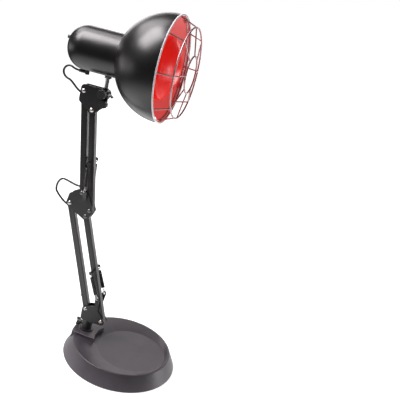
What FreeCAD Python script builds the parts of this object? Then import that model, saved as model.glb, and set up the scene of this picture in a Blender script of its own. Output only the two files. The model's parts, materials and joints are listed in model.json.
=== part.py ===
"""Infrared heat lamp on a swing arm, a parametric document in millimetres.

+X points forward, the way the shade faces, +Y to the lamp's far side and +Z up. The origin is the
centre of the flat underside of the round base. The arm hangs in the plane y = 0.
"""

import math
import os

import FreeCAD, Part
import Sketcher

Vector = FreeCAD.Vector

doc = FreeCAD.newDocument("heat_lamp")
sheet = doc.addObject("Spreadsheet::Sheet", "Sizes")

# Driving dimensions, in millimetres and degrees.
SIZES = {
    # round base
    "base_radius": 95.0,
    "flare": 12.4,
    "base_height": 24.6,
    "crest_width": 3.6,
    "crest_round": 1.7,
    "disc_radius": 57.0,
    "disc_ahead": 17.5,
    "disc_height": 19.6,
    "shell_wall": 1.5,
    "edge_lift": 1.0,
    "foam_inset": 7.0,
    "foam_thickness": 1.7,
    "floor_thickness": 1.5,
    "weight_margin": 3.0,
    "screw_inset": 35.0,
    "screw_radius": 2.0,
    "screw_head": 4.0,
    "screw_reach": 10.0,
    # platform and post at the back of the base
    "platform_half": 21.0,
    "platform_top": 28.4,
    "platform_over": 5.0,
    "platform_under": 14.0,
    "platform_hollow": 34.5,
    "platform_edge": 0.9,
    "swivel_inset": 27.0,
    "post_radius": 8.0,
    "post_flange": 11.0,
    "flange_thickness": 2.5,
    "post_top": 45.0,
    "post_floor": 8.0,
    "shaft_radius": 5.0,
    "neck_radius": 3.0,
    "washer_thickness": 1.0,
    "nut_radius": 11.4,
    "nut_thickness": 5.0,
    "lock_height": 36.6,
    "lock_radius": 2.5,
    "lock_hub": 4.0,
    "lock_hub_length": 7.0,
    "lock_stand": 3.5,
    "lock_wing": 7.2,
    "lock_wing_thickness": 2.2,
    "lock_notch": 3.4,
    # square tubes, their pivots and their brackets
    "tube_side": 10.0,
    "tube_wall": 1.0,
    "tube_corner": 1.3,
    "tube_end": 3.2,
    "plate_thickness": 1.5,
    "lobe": 6.0,
    "rivet_radius": 2.0,
    "rivet_head": 3.5,
    "rivet_dome": 1.7,
    "lower_rear_back": 7.4,
    "lower_rear_height": 67.0,
    "lower_front_ahead": 23.6,
    "lower_front_height": 53.6,
    "lower_length": 185.0,
    "lower_lean": 21.3,
    "turret_foot_ahead": 0.4,
    "turret_brow_back": 6.0,
    "turret_brow_rise": 0.5,
    "elbow_top_ahead": 8.4,
    "elbow_top_drop": 4.3,
    "elbow_back_ahead": 2.1,
    "elbow_back_rise": 13.2,
    "elbow_ahead": 4.5,
    "elbow_rise": 11.3,
    "pair_back": 18.8,
    "pair_rise": 25.1,
    "upper_length": 161.8,
    "upper_lean": 11.45,
    # springs
    "pin_radius": 1.5,
    "pin_head": 2.5,
    "pin_head_length": 1.5,
    "lower_pin_along": 92.0,
    "upper_pin_along": 81.5,
    "ear_foot": 2.8,
    "ear_tip": 3.6,
    "ear_hole": 1.8,
    "lower_ear_ahead": 11.5,
    "lower_ear_foot": 71.0,
    "lower_ear_length": 26.0,
    "lower_ear_flare": 20.5,
    "upper_ear_ahead": 7.4,
    "upper_ear_drop": 11.0,
    "upper_ear_length": 18.8,
    "upper_ear_flare": 28.9,
    "coil_radius": 3.3,
    "hook_radius": 3.2,
    "hook_wire": 0.7,
    "hook_neck": 4.0,
    # joint at the head end of the arm
    "head_plate_ahead": 0.8,
    "head_plate_rise": 4.2,
    "head_plate_drop": 13.0,
    "tilt_ahead": 13.1,
    "tilt_rise": 29.3,
    "tilt_lobe": 7.4,
    "tilt_bolt": 2.5,
    "tilt_disc": 5.7,
    "disc_step": 1.0,
    "grip_radius": 7.0,
    "grip_length": 9.0,
    "grip_flute": 1.4,
    "grip_socket": 6.0,
    "wing_hub": 4.4,
    "wing_hub_length": 6.0,
    "wing_span": 10.0,
    "wing_thickness": 2.0,
    "wing_turn": 35.0,
    "knob_ahead": 5.1,
    "knob_drop": 14.1,
    "knob_lobe": 3.8,
    "flute_radius": 1.3,
    "knob_radius": 6.0,
    "knob_length": 7.2,
    "knob_socket": 5.0,
    "knob_bolt": 2.0,
    "knob_nut": 3.8,
    "knob_nut_height": 2.4,
    "knuckle_radius": 7.2,
    "knuckle_top": 9.0,
    "knuckle_wall": 0.8,
    "rod_radius": 3.25,
    "rod_foot": 4.0,
    "rod_nut": 5.6,
    "rod_nut_height": 3.4,
    # head
    "head_tilt": 2.5,
    "head_height": 60.1,
    "cover_radius": 33.1,
    "cover_back": 38.9,
    "cover_dome": 28.7,
    "cover_wall": 1.2,
    "shade_back": 19.0,
    "shade_centre": 90.3,
    "shade_radius": 80.0,
    "shade_wall": 1.2,
    "mouth": 95.0,
    "rim_bead": 1.5,
    "socket_radius": 18.0,
    "socket_back": 28.0,
    "socket_front": 30.0,
    "socket_bore": 14.4,
    "socket_mouth": 16.6,
    "socket_floor": 16.0,
    "socket_flange": 21.5,
    "ring_outer": 23.0,
    "ring_length": 5.5,
    "shell_gauge": 0.8,
    "cap_radius": 13.0,
    "cap_length": 25.0,
    "contact_radius": 4.0,
    "contact_height": 2.2,
    "bulb_neck": 13.4,
    "bulb_shoulder": 30.0,
    "bulb_radius": 47.5,
    "bulb_widest": 84.0,
    "bulb_front": 106.0,
    "glass_wall": 1.0,
    "tab_screw_offset": 28.0,
    "tab_depth": 6.0,
    "tab_half": 4.0,
    "tab_screw": 1.5,
    "tab_screw_head": 2.8,
    # guard
    "guard_wire": 1.25,
    "guard_bar": 1.0,
    "guard_rim_ring": 76.5,
    "guard_front_ring": 66.5,
    "guard_front": 117.0,
    "guard_small_ring": 27.0,
    "guard_nose": 123.5,
    "guard_seat": 4.0,
    "clip_half": 4.0,
    "clip_reach": 2.4,
    # switch
    "switch_rise": 9.0,
    "switch_case": 7.0,
    "switch_case_length": 15.0,
    "switch_bush": 2.6,
    "switch_nut": 4.0,
    "switch_nut_height": 1.2,
    "switch_stem": 1.2,
    "switch_knob": 2.6,
    "switch_knob_length": 3.6,
    # flex
    "cord_radius": 1.6,
    "grommet_radius": 3.7,
    "grommet_lip": 0.9,
    "grommet_seat": 2.8,
    "grommet_slant": 20.0,
    "upper_hole_top": 4.6,
    "upper_hole_bottom": 9.0,
    "lower_hole_top": 4.6,
    "lower_hole_bottom": 24.0,
    "gland_back": 34.0,
    "gland_radius": 3.2,
    "gland_sleeve": 2.4,
    "gland_reach": 13.0,
    "cord_inside": 1.3,
    "cord_straight": 6.0,
    "elbow_loop_back": 19.4,
    "elbow_loop_rise": 17.3,
    "elbow_loop_deep": 10.8,
    "elbow_loop_tall": 16.8,
    "elbow_loop_first": 88.0,
    "elbow_loop_last": 209.0,
    "head_loop_back": 28.8,
    "head_loop_rise": 19.5,
    "head_loop_deep": 12.8,
    "head_loop_tall": 11.0,
    "head_loop_first": 105.8,
    "head_loop_last": 279.1,
    # clearances
    "side_gap": 0.3,
    "run_gap": 0.05,
    "snug_gap": 0.02,
    "seat_gap": 0.3,
    "cord_gap": 0.45,
}

GUARD_BARS = 8
GUARD_CLIPS = 4
KNOB_FLUTES = 10
GRIP_FLUTES = 12
BASE_SCREWS = 3
LOOP_CORNERS = 6


class Size:
    """A length or an angle that knows its formula in the sheet and its present value."""

    def __init__(self, text, number):
        self.text = text
        self.number = number

    def __float__(self):
        return self.number

    def __add__(self, other):
        other = as_size(other)
        return Size(f"({self.text} + {other.text})", self.number + other.number)

    def __sub__(self, other):
        other = as_size(other)
        return Size(f"({self.text} - {other.text})", self.number - other.number)

    def __rsub__(self, other):
        return as_size(other) - self

    def __mul__(self, other):
        other = as_size(other)
        return Size(f"({self.text} * {other.text})", self.number * other.number)

    def __truediv__(self, other):
        other = as_size(other)
        return Size(f"({self.text} / {other.text})", self.number / other.number)

    def __neg__(self):
        return Size(f"(0 - {self.text})", -self.number)

    __radd__ = __add__
    __rmul__ = __mul__


def as_size(value):
    return value if isinstance(value, Size) else Size(repr(float(value)), float(value))


def sine(angle):
    return Size(f"sin({angle.text})", math.sin(math.radians(angle.number)))


def cosine(angle):
    return Size(f"cos({angle.text})", math.cos(math.radians(angle.number)))


def slope_angle(across, along):
    """The angle whose tangent is across over along, in degrees."""
    number = math.degrees(math.atan(across.number / along.number))
    return Size(f"(atan({across.text} / {along.text}) / 1 deg)", number)


def length_of(across, along):
    return Size(
        f"sqrt({across.text} * {across.text} + {along.text} * {along.text})",
        math.hypot(across.number, along.number),
    )


def fill_sheet():
    for row, (alias, value) in enumerate(SIZES.items(), start=1):
        sheet.set(f"A{row}", alias)
        sheet.set(f"B{row}", str(value))
        sheet.setAlias(f"B{row}", alias)
    doc.recompute()


class Dimensions:
    """Every driving dimension as an attribute."""

    def __init__(self):
        for alias in SIZES:
            setattr(self, alias, Size(f"Sizes.{alias}", float(sheet.get(alias))))


fill_sheet()
d = Dimensions()
NOTHING = as_size(0)


class Spot:
    """A point of the arm's plane."""

    def __init__(self, x, z):
        self.x = as_size(x)
        self.z = as_size(z)

    def moved(self, x, z):
        return Spot(self.x + x, self.z + z)

    def along(self, lean, distance, across=0):
        """The spot at a distance up a leaning tube and to its front side."""
        lean_sine = sine(lean)
        lean_cosine = cosine(lean)
        across = as_size(across)
        distance = as_size(distance)
        x = self.x - distance * lean_sine + across * lean_cosine
        z = self.z + distance * lean_cosine + across * lean_sine
        return Spot(x, z)


# Places that follow from the driving dimensions.
INNER = d.tube_side / 2 + d.side_gap
OUTER = INNER + d.plate_thickness
PLATE_MIDDLE = INNER + d.plate_thickness / 2
RIM = d.base_radius - d.flare
SWIVEL_X = d.swivel_inset - d.base_radius
WEIGHT_FLOOR = d.foam_thickness + d.floor_thickness
SADDLE = d.post_top + d.washer_thickness

LOWER_REAR = Spot(SWIVEL_X - d.lower_rear_back, d.lower_rear_height)
LOWER_FRONT = Spot(SWIVEL_X + d.lower_front_ahead, d.lower_front_height)
ELBOW_REAR = LOWER_REAR.along(d.lower_lean, d.lower_length)
ELBOW_FRONT = LOWER_FRONT.along(d.lower_lean, d.lower_length)
UPPER_FRONT = ELBOW_FRONT.moved(d.elbow_ahead, d.elbow_rise)
UPPER_REAR = UPPER_FRONT.moved(-d.pair_back, d.pair_rise)
HEAD_FRONT = UPPER_FRONT.along(d.upper_lean, d.upper_length)
HEAD_REAR = UPPER_REAR.along(d.upper_lean, d.upper_length)
TILT = HEAD_FRONT.moved(d.tilt_ahead, d.tilt_rise)
KNOB = TILT.moved(d.knob_ahead, -d.knob_drop)
HEAD = TILT.along(d.head_tilt, d.head_height)

LOWER_EAR = Spot(SWIVEL_X + d.lower_ear_ahead, d.lower_ear_foot)
UPPER_EAR = UPPER_REAR.moved(d.upper_ear_ahead, -d.upper_ear_drop)
LOWER_PIN = LOWER_FRONT.along(d.lower_lean, d.lower_pin_along)
UPPER_PIN = UPPER_FRONT.along(d.upper_lean, d.upper_pin_along)
LOWER_SIDE = PLATE_MIDDLE + d.lower_ear_length * sine(d.lower_ear_flare)
UPPER_SIDE = PLATE_MIDDLE + d.upper_ear_length * sine(d.upper_ear_flare)
LOWER_HOOK = LOWER_EAR.moved(0, d.lower_ear_length * cosine(d.lower_ear_flare))
UPPER_HOOK = UPPER_EAR.moved(0, d.upper_ear_length * cosine(d.upper_ear_flare))

nodes = []

X_AXIS = Vector(1, 0, 0)
Y_AXIS = Vector(0, 1, 0)
Z_AXIS = Vector(0, 0, 1)
LEAN_AXIS = Vector(0, -1, 0)
TURNS = {
    "z": FreeCAD.Rotation(),
    "x": FreeCAD.Rotation(Y_AXIS, 90),
    "y": FreeCAD.Rotation(X_AXIS, -90),
}


def bind(thing, path, size):
    thing.setExpression(path, as_size(size).text)


def put(thing, x=0, y=0, z=0, turn=None):
    """Place a thing: its base follows the sheet, its turn stays."""
    if turn is not None:
        thing.Placement = FreeCAD.Placement(Vector(), turn)
    bind(thing, "Placement.Base.x", x)
    bind(thing, "Placement.Base.y", y)
    bind(thing, "Placement.Base.z", z)
    return thing


def lean(thing, spot, angle, y=0):
    """Stand a thing on a spot, leaning back by an angle."""
    put(thing, spot.x, y, spot.z, FreeCAD.Rotation(LEAN_AXIS, float(angle)))
    bind(thing, "Placement.Rotation.Angle", angle)
    return thing


def cylinder(name, radius, start, end, along="z", x=0, y=0, z=0):
    """A round bar from start to end along an axis through the point x, y, z."""
    bar = doc.addObject("Part::Cylinder", name)
    start = as_size(start)
    bind(bar, "Radius", radius)
    bind(bar, "Height", as_size(end) - start)
    shift = {"x": NOTHING, "y": NOTHING, "z": NOTHING}
    shift[along] = start
    return put(bar, shift["x"] + x, shift["y"] + y, shift["z"] + z, TURNS[along])


def hexagon(name, radius, start, end, along="z", x=0, y=0, z=0):
    """A six-sided bar, its radius measured to the corners."""
    bar = doc.addObject("Part::Prism", name)
    bar.Polygon = 6
    start = as_size(start)
    bind(bar, "Circumradius", radius)
    bind(bar, "Height", as_size(end) - start)
    shift = {"x": NOTHING, "y": NOTHING, "z": NOTHING}
    shift[along] = start
    return put(bar, shift["x"] + x, shift["y"] + y, shift["z"] + z, TURNS[along])


def box(name, x_range, y_range, z_range):
    block = doc.addObject("Part::Box", name)
    for side, (low, high) in zip(("Length", "Width", "Height"), (x_range, y_range, z_range)):
        bind(block, side, as_size(high) - low)
    return put(block, x_range[0], y_range[0], z_range[0])


def cone(name, low_radius, high_radius, start, end, along="z", x=0, y=0, z=0):
    body = doc.addObject("Part::Cone", name)
    start = as_size(start)
    bind(body, "Radius1", low_radius)
    bind(body, "Radius2", high_radius)
    bind(body, "Height", as_size(end) - start)
    shift = {"x": NOTHING, "y": NOTHING, "z": NOTHING}
    shift[along] = start
    return put(body, shift["x"] + x, shift["y"] + y, shift["z"] + z, TURNS[along])


def torus(name, ring, wire, along="z", x=0, y=0, z=0):
    hoop = doc.addObject("Part::Torus", name)
    bind(hoop, "Radius1", ring)
    bind(hoop, "Radius2", wire)
    return put(hoop, x, y, z, TURNS[along])


def sphere(name, radius, x=0, y=0, z=0):
    ball = doc.addObject("Part::Sphere", name)
    bind(ball, "Radius", radius)
    return put(ball, x, y, z, TURNS["x"])


def fuse(name, pieces):
    joined = doc.addObject("Part::MultiFuse", name)
    joined.Shapes = pieces
    joined.Refine = True
    return joined


def common(name, pieces):
    shared = doc.addObject("Part::MultiCommon", name)
    shared.Shapes = pieces
    return shared


def cut(name, base, tools):
    left = doc.addObject("Part::Cut", name)
    left.Base = base
    left.Tool = tools[0] if len(tools) == 1 else fuse(name + "_tools", tools)
    left.Refine = True
    return left


def group(name, pieces):
    """Separate solids that share one node."""
    together = doc.addObject("Part::Compound", name)
    together.Links = pieces
    return together


def round_edges(name, base, radius, wanted):
    """Round the edges that a test picks."""
    doc.recompute()
    rounded = doc.addObject("Part::Fillet", name)
    rounded.Base = base
    numbers = [i for i, edge in enumerate(base.Shape.Edges, start=1) if wanted(edge)]
    rounded.Edges = [(i, float(radius), float(radius)) for i in numbers]
    return rounded


def node(thing, label):
    thing.Label = label
    nodes.append(thing)
    return thing


def free_shape(label, shape, place=None):
    """A piece whose shape is made outright, from sizes read from the sheet."""
    piece = doc.addObject("Part::Feature", label)
    piece.Shape = shape
    if place is not None:
        piece.Placement = place
    return node(piece, label)


def plane_of(body, role):
    return next(f for f in body.Origin.OriginFeatures if f.Role == role)


def new_sketch(body, role, offset=None):
    sketch = body.newObject("Sketcher::SketchObject", body.Name + "_sketch")
    sketch.AttachmentSupport = [(plane_of(body, role), "")]
    sketch.MapMode = "FlatFace"
    if offset is not None:
        bind(sketch, "AttachmentOffset.Base.z", offset)
    return sketch


def pin_point(sketch, geometry, position, x, z):
    """Hold a sketch point at two distances from the sketch's origin."""
    for kind, size in (("DistanceX", x), ("DistanceY", z)):
        number = sketch.addConstraint(
            Sketcher.Constraint(kind, -1, 1, geometry, position, float(size))
        )
        sketch.setExpression(f"Constraints[{number}]", size.text)


def pin_radius(sketch, geometry, radius):
    number = sketch.addConstraint(Sketcher.Constraint("Radius", geometry, float(radius)))
    sketch.setExpression(f"Constraints[{number}]", as_size(radius).text)


def lobed_outline(sketch, lobes):
    """A closed outline round the lobes, anticlockwise: an arc at each, joined by tangent lines."""
    centres = [Vector(float(s.x), float(s.z), 0) for s, _ in lobes]
    radii = [float(r) for _, r in lobes]
    count = len(lobes)
    normals = []
    for i in range(count):
        j = (i + 1) % count
        run = centres[j] - centres[i]
        tangent = run / run.Length
        rise = (radii[i] - radii[j]) / run.Length
        outward = Vector(tangent.y, -tangent.x, 0)
        normals.append(outward * math.sqrt(1 - rise * rise) + tangent * rise)
    arcs = []
    lines = []
    for i in range(count):
        before = normals[i - 1]
        after = normals[i]
        begin = math.atan2(before.y, before.x)
        end = math.atan2(after.y, after.x)
        end += 2 * math.pi if end < begin else 0
        circle = Part.Circle(centres[i], Z_AXIS, radii[i])
        arcs.append(sketch.addGeometry(Part.ArcOfCircle(circle, begin, end)))
    for i in range(count):
        j = (i + 1) % count
        start = centres[i] + normals[i] * radii[i]
        stop = centres[j] + normals[i] * radii[j]
        lines.append(sketch.addGeometry(Part.LineSegment(start, stop)))
    for i in range(count):
        j = (i + 1) % count
        sketch.addConstraint(Sketcher.Constraint("Tangent", arcs[i], 2, lines[i], 1))
        sketch.addConstraint(Sketcher.Constraint("Tangent", lines[i], 2, arcs[j], 1))
    for arc, (spot, radius) in zip(arcs, lobes):
        pin_point(sketch, arc, 3, spot.x, spot.z)
        pin_radius(sketch, arc, radius)


def drill(sketch, spot, radius):
    circle = Part.Circle(Vector(float(spot.x), float(spot.z), 0), Z_AXIS, float(radius))
    number = sketch.addGeometry(circle)
    pin_point(sketch, number, 3, spot.x, spot.z)
    pin_radius(sketch, number, radius)


def polygon_outline(sketch, corners):
    """A closed outline of straight runs."""
    points = [Vector(float(c.x), float(c.z), 0) for c in corners]
    count = len(points)
    lines = [
        sketch.addGeometry(Part.LineSegment(points[i], points[(i + 1) % count]))
        for i in range(count)
    ]
    for i in range(count):
        following = lines[(i + 1) % count]
        sketch.addConstraint(Sketcher.Constraint("Coincident", lines[i], 2, following, 1))
        pin_point(sketch, lines[i], 1, corners[i].x, corners[i].z)


def plate(name, lobes, holes, side):
    """A stamped plate beside the tubes: side is -1 for the near one and 1 for the far one."""
    body = doc.addObject("PartDesign::Body", name)
    sketch = new_sketch(body, "XZ_Plane", INNER if side < 0 else -OUTER)
    lobed_outline(sketch, lobes)
    for spot, radius in holes:
        drill(sketch, spot, radius)
    pad = body.newObject("PartDesign::Pad", name + "_pad")
    pad.Profile = sketch
    bind(pad, "Length", d.plate_thickness)
    return body


def ear(name, spot, length, flare, side):
    """A tapered strap bent outwards from a plate, with the hole that a spring hooks into."""
    body = doc.addObject("PartDesign::Body", name)
    sketch = new_sketch(body, "XZ_Plane", -d.plate_thickness / 2)
    lobed_outline(sketch, [(Spot(0, 0), d.ear_foot), (Spot(0, length), d.ear_tip)])
    drill(sketch, Spot(0, length), d.ear_hole)
    pad = body.newObject("PartDesign::Pad", name + "_pad")
    pad.Profile = sketch
    bind(pad, "Length", d.plate_thickness)
    put(body, spot.x, PLATE_MIDDLE * side, spot.z, FreeCAD.Rotation(X_AXIS * -side, float(flare)))
    bind(body, "Placement.Rotation.Angle", flare)
    return body


def lathe(name, corners, role="XZ_Plane", axis="V_Axis"):
    """A body turned from a closed outline about an axis of its sketch."""
    body = doc.addObject("PartDesign::Body", name)
    sketch = new_sketch(body, role)
    polygon_outline(sketch, corners)
    turned = body.newObject("PartDesign::Revolution", name + "_turn")
    turned.Profile = sketch
    turned.ReferenceAxis = (sketch, [axis])
    turned.Angle = 360
    return body


# ---------------------------------------------------------------- base


def tray(name, drop=0):
    """The recess in the base's top: a low disc, ahead of the middle, widening up to the crest."""
    rings = []
    for word, radius, height, ahead in (
        ("low", d.disc_radius, d.disc_height, d.disc_ahead),
        ("high", RIM - d.crest_width, d.base_height, NOTHING),
    ):
        ring = doc.addObject("Part::Circle", f"{name}_{word}")
        bind(ring, "Radius", radius)
        rings.append(put(ring, ahead, 0, height - drop))
    loft = doc.addObject("Part::Loft", name)
    loft.Sections = rings
    loft.Solid = True
    loft.Ruled = True
    return loft


def make_base():
    wall = d.shell_wall
    flare = cone("shell_flare", d.base_radius, RIM, d.edge_lift, d.base_height)
    rim = float(RIM)
    crest = float(d.base_height)
    rounded = round_edges(
        "shell_rounded",
        flare,
        d.crest_round,
        lambda e: abs(e.BoundBox.ZMin - crest) < 0.01 and e.BoundBox.XMax > rim - 0.01,
    )
    room = cone(
        "shell_room", d.base_radius - wall, RIM - wall, d.edge_lift, d.base_height - wall
    )
    inside = cut("shell_inside", room, [tray("shell_under_tray", wall)])
    hole = cylinder("shell_hole", d.post_radius + d.run_gap, 0, d.base_height, x=SWIVEL_X)
    node(cut("base_shell", rounded, [tray("shell_tray"), inside, hole]), "base_shell")

    block = cylinder(
        "weight_block",
        RIM - d.weight_margin + d.screw_radius,
        WEIGHT_FLOOR,
        d.disc_height - wall - d.seat_gap,
    )
    holes = [
        cylinder("weight_hole", d.post_radius + d.run_gap, 0, d.base_height, x=SWIVEL_X),
        cylinder(
            "nut_recess", d.nut_radius + d.seat_gap, 0, WEIGHT_FLOOR + d.nut_thickness, x=SWIVEL_X
        ),
    ]
    floor = cylinder(
        "floor_disc",
        d.base_radius - wall - d.edge_lift - d.seat_gap,
        d.foam_thickness,
        WEIGHT_FLOOR,
    )
    sinks = []
    screws = []
    for k in range(BASE_SCREWS):
        angle = 2 * math.pi * k / BASE_SCREWS
        x = (d.base_radius - d.screw_inset) * math.cos(angle)
        y = (d.base_radius - d.screw_inset) * math.sin(angle)
        reach = WEIGHT_FLOOR + d.screw_reach
        holes.append(
            cylinder(f"tapping_{k}", d.screw_radius + d.snug_gap, 0, reach + d.seat_gap, x=x, y=y)
        )
        sinks.append(
            cylinder(f"sink_{k}", d.screw_head + d.run_gap, 0, WEIGHT_FLOOR, x=x, y=y)
        )
        head = cylinder(f"head_{k}", d.screw_head, d.foam_thickness, WEIGHT_FLOOR, x=x, y=y)
        shank = cylinder(f"shank_{k}", d.screw_radius, d.foam_thickness, reach, x=x, y=y)
        screws.append(fuse(f"screw_{k}", [head, shank]))
    node(cut("base_weight", block, holes), "base_weight")
    node(cut("base_floor", floor, sinks), "base_floor")
    node(group("base_screws", screws), "base_screws")
    foam = cylinder("base_foam", d.base_radius - d.foam_inset, 0, d.foam_thickness)
    node(foam, "base_foam")


def make_platform():
    """The raised block behind the disc, lying on the base's slope and lapping over its rim."""
    reach = RIM + d.platform_over
    front = RIM - d.platform_hollow
    depth = (-reach - 1, -front / 2)
    across = (-d.platform_half, d.platform_half)
    block = box("platform_block", depth, across, (d.platform_under, d.platform_top))
    back = cylinder("platform_back_round", reach, d.platform_under, d.platform_top)
    hollow = cylinder("platform_hollow_cut", front, 0, d.post_top)
    flare = cone("platform_flare", d.base_radius, RIM, d.edge_lift, d.base_height)
    slope = cut("platform_slope", flare, [tray("platform_tray")])
    hole = cylinder("platform_hole", d.post_radius + d.run_gap, 0, d.post_top, x=SWIVEL_X)
    shaped = common("platform_shaped", [block, back])
    seated = cut("platform_seated", shaped, [hollow, slope, hole])
    top = float(d.platform_top)
    bore = float(d.post_radius) + 1
    eased = round_edges(
        "platform_eased",
        seated,
        d.platform_edge,
        lambda e: abs(e.BoundBox.ZMin - top) < 0.01 and e.BoundBox.DiagonalLength > 3 * bore,
    )
    node(eased, "post_platform")


def make_post():
    tube = cylinder("post_tube", d.post_radius, WEIGHT_FLOOR + 0.5, d.post_top, x=SWIVEL_X)
    flange = cylinder(
        "post_flange_disc",
        d.post_flange,
        d.platform_top,
        d.platform_top + d.flange_thickness,
        x=SWIVEL_X,
    )
    bore = cylinder("post_bore", d.shaft_radius + d.run_gap, d.post_floor, d.post_top, x=SWIVEL_X)
    tapped = cylinder(
        "post_tapped",
        d.lock_radius + d.run_gap,
        SWIVEL_X - d.post_radius - 1,
        SWIVEL_X,
        along="x",
        z=d.lock_height,
    )
    node(cut("post_socket", fuse("post_outside", [tube, flange]), [bore, tapped]), "post_socket")

    nut = hexagon(
        "nut_block", d.nut_radius, WEIGHT_FLOOR, WEIGHT_FLOOR + d.nut_thickness, x=SWIVEL_X
    )
    thread = cylinder("nut_thread", d.post_radius + d.snug_gap, 0, d.post_top, x=SWIVEL_X)
    node(cut("post_nut", nut, [thread]), "post_nut")

    ring = cylinder("washer_disc", d.post_radius, d.post_top, SADDLE, x=SWIVEL_X)
    hole = cylinder("washer_hole", d.shaft_radius + d.run_gap, 0, SADDLE, x=SWIVEL_X)
    node(cut("swivel_washer", ring, [hole]), "swivel_washer")


def make_lock_screw():
    """The wing screw that holds the post's shaft, pointing backwards."""
    tip = SWIVEL_X - d.shaft_radius - d.seat_gap
    hub_end = SWIVEL_X - d.post_radius - d.lock_stand
    shank = cylinder("lock_shank", d.lock_radius, hub_end, tip, along="x", z=d.lock_height)
    hub_back = hub_end - d.lock_hub_length
    hub = cylinder("lock_hub_bar", d.lock_hub, hub_back, hub_end, along="x", z=d.lock_height)
    wing = box(
        "lock_wing_plate",
        (hub_back - 1.5, hub_end - 2),
        (-d.lock_wing_thickness / 2, d.lock_wing_thickness / 2),
        (d.lock_height - d.lock_wing, d.lock_height + d.lock_wing),
    )
    span = cylinder("lock_wing_span", d.lock_wing, hub_back - 2, hub_end, along="x", z=d.lock_height)
    notch = cylinder(
        "lock_wing_notch", d.lock_notch, hub_back - 2, hub_back + 0.8, along="x", z=d.lock_height
    )
    wings = cut("lock_wings", common("lock_wing_blank", [wing, span]), [notch])
    node(fuse("post_wing_screw", [shank, hub, wings]), "post_wing_screw")


# ---------------------------------------------------------------- turret


def make_turret():
    """The U-shaped bracket that swivels on the post and carries the lower tubes."""
    lobes = [
        (Spot(LOWER_REAR.x + d.turret_foot_ahead, SADDLE + d.lobe), d.lobe),
        (LOWER_FRONT, d.lobe),
        (LOWER_EAR.moved(-d.turret_brow_back, d.turret_brow_rise), d.lobe),
        (LOWER_REAR, d.lobe),
    ]
    hole = d.rivet_radius + d.snug_gap
    pieces = []
    for side, word in ((-1, "near"), (1, "far")):
        holes = [(LOWER_REAR, hole), (LOWER_FRONT, hole)]
        pieces.append(plate(f"turret_{word}_plate", lobes, holes, side))
        pieces.append(
            ear(f"turret_{word}_ear", LOWER_EAR, d.lower_ear_length, d.lower_ear_flare, side)
        )
    web = box(
        "turret_web",
        (LOWER_REAR.x + d.turret_foot_ahead, LOWER_EAR.x),
        (-OUTER, OUTER),
        (SADDLE, SADDLE + d.plate_thickness),
    )
    slot = box(
        "turret_slot",
        (LOWER_REAR.x - d.lower_length, LOWER_FRONT.x + d.lower_length),
        (-INNER, INNER),
        (SADDLE + d.plate_thickness, SADDLE + d.lower_length),
    )
    bracket = cut("turret_slotted", fuse("turret_joined", pieces + [web]), [slot])
    neck = cylinder("turret_neck_hole", d.neck_radius + d.snug_gap, 0, d.lower_length, x=SWIVEL_X)
    node(cut("turret_bracket", bracket, [neck]), "turret_bracket")

    floor = d.post_floor + d.seat_gap
    top = SADDLE + d.plate_thickness
    shaft = cylinder("shaft_bar", d.shaft_radius, floor, SADDLE, x=SWIVEL_X)
    stub = cylinder("shaft_neck", d.neck_radius, floor, top, x=SWIVEL_X)
    peen = cylinder("shaft_peen", d.neck_radius + 1, top, top + 2, x=SWIVEL_X)
    node(fuse("swivel_shaft", [shaft, stub, peen]), "swivel_shaft")


def rivet(name, spot):
    """A pivot rivet through both plates, with a low domed head on each side."""
    reach = OUTER + d.rivet_dome
    shank = cylinder(name + "_shank", d.rivet_radius, -OUTER, OUTER, along="y", x=spot.x, z=spot.z)
    heads = []
    for side in (-1, 1):
        curve = (d.rivet_head * d.rivet_head + d.rivet_dome * d.rivet_dome) / (d.rivet_dome * 2)
        ball = sphere(f"{name}_ball_{side}", curve, spot.x, (reach - curve) * side, spot.z)
        low = OUTER if side > 0 else -reach - 1
        high = reach + 1 if side > 0 else -OUTER
        slab = cylinder(
            f"{name}_slab_{side}", d.rivet_head + 1, low, high, along="y", x=spot.x, z=spot.z
        )
        heads.append(common(f"{name}_dome_{side}", [ball, slab]))
    return fuse(name, [shank] + heads)


def make_rivets():
    for label, spots in (
        ("turret_rivets", (LOWER_REAR, LOWER_FRONT)),
        ("elbow_rivets", (ELBOW_REAR, ELBOW_FRONT, UPPER_REAR, UPPER_FRONT)),
        ("head_rivets", (HEAD_REAR, HEAD_FRONT)),
    ):
        rivets = [rivet(f"{label}_{k}", spot) for k, spot in enumerate(spots)]
        node(group(label, rivets), label)


# ---------------------------------------------------------------- tubes and springs


def make_tube(label, foot, length, angle, pin_along=None, wall_holes=()):
    """A square tube in its own frame: z runs up the tube from its lower pivot."""
    half = d.tube_side / 2
    hollow = half - d.tube_wall
    ends = (-d.tube_end, length + d.tube_end)
    outside = box(label + "_outside", (-half, half), (-half, half), ends)
    upright = round_edges(
        label + "_rounded",
        outside,
        d.tube_corner,
        lambda e: e.BoundBox.ZLength > float(length),
    )
    inside = box(
        label + "_inside",
        (-hollow, hollow),
        (-hollow, hollow),
        (-d.tube_end - 1, length + d.tube_end + 1),
    )
    tools = [inside]
    for k, height in enumerate((NOTHING, length)):
        bore = d.rivet_radius + d.run_gap
        tools.append(
            cylinder(f"{label}_pivot_{k}", bore, -d.tube_side, d.tube_side, along="y", z=height)
        )
    if pin_along is not None:
        bore = d.pin_radius + d.snug_gap
        tools.append(
            cylinder(f"{label}_pin", bore, -d.tube_side, d.tube_side, along="y", z=pin_along)
        )
    for k, height in enumerate(wall_holes):
        bore = d.grommet_seat + d.snug_gap
        tools.append(
            cylinder(f"{label}_cord_{k}", bore, -d.tube_side, 0, along="x", z=height)
        )
    node(lean(cut(label, upright, tools), foot, angle), label)


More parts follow.
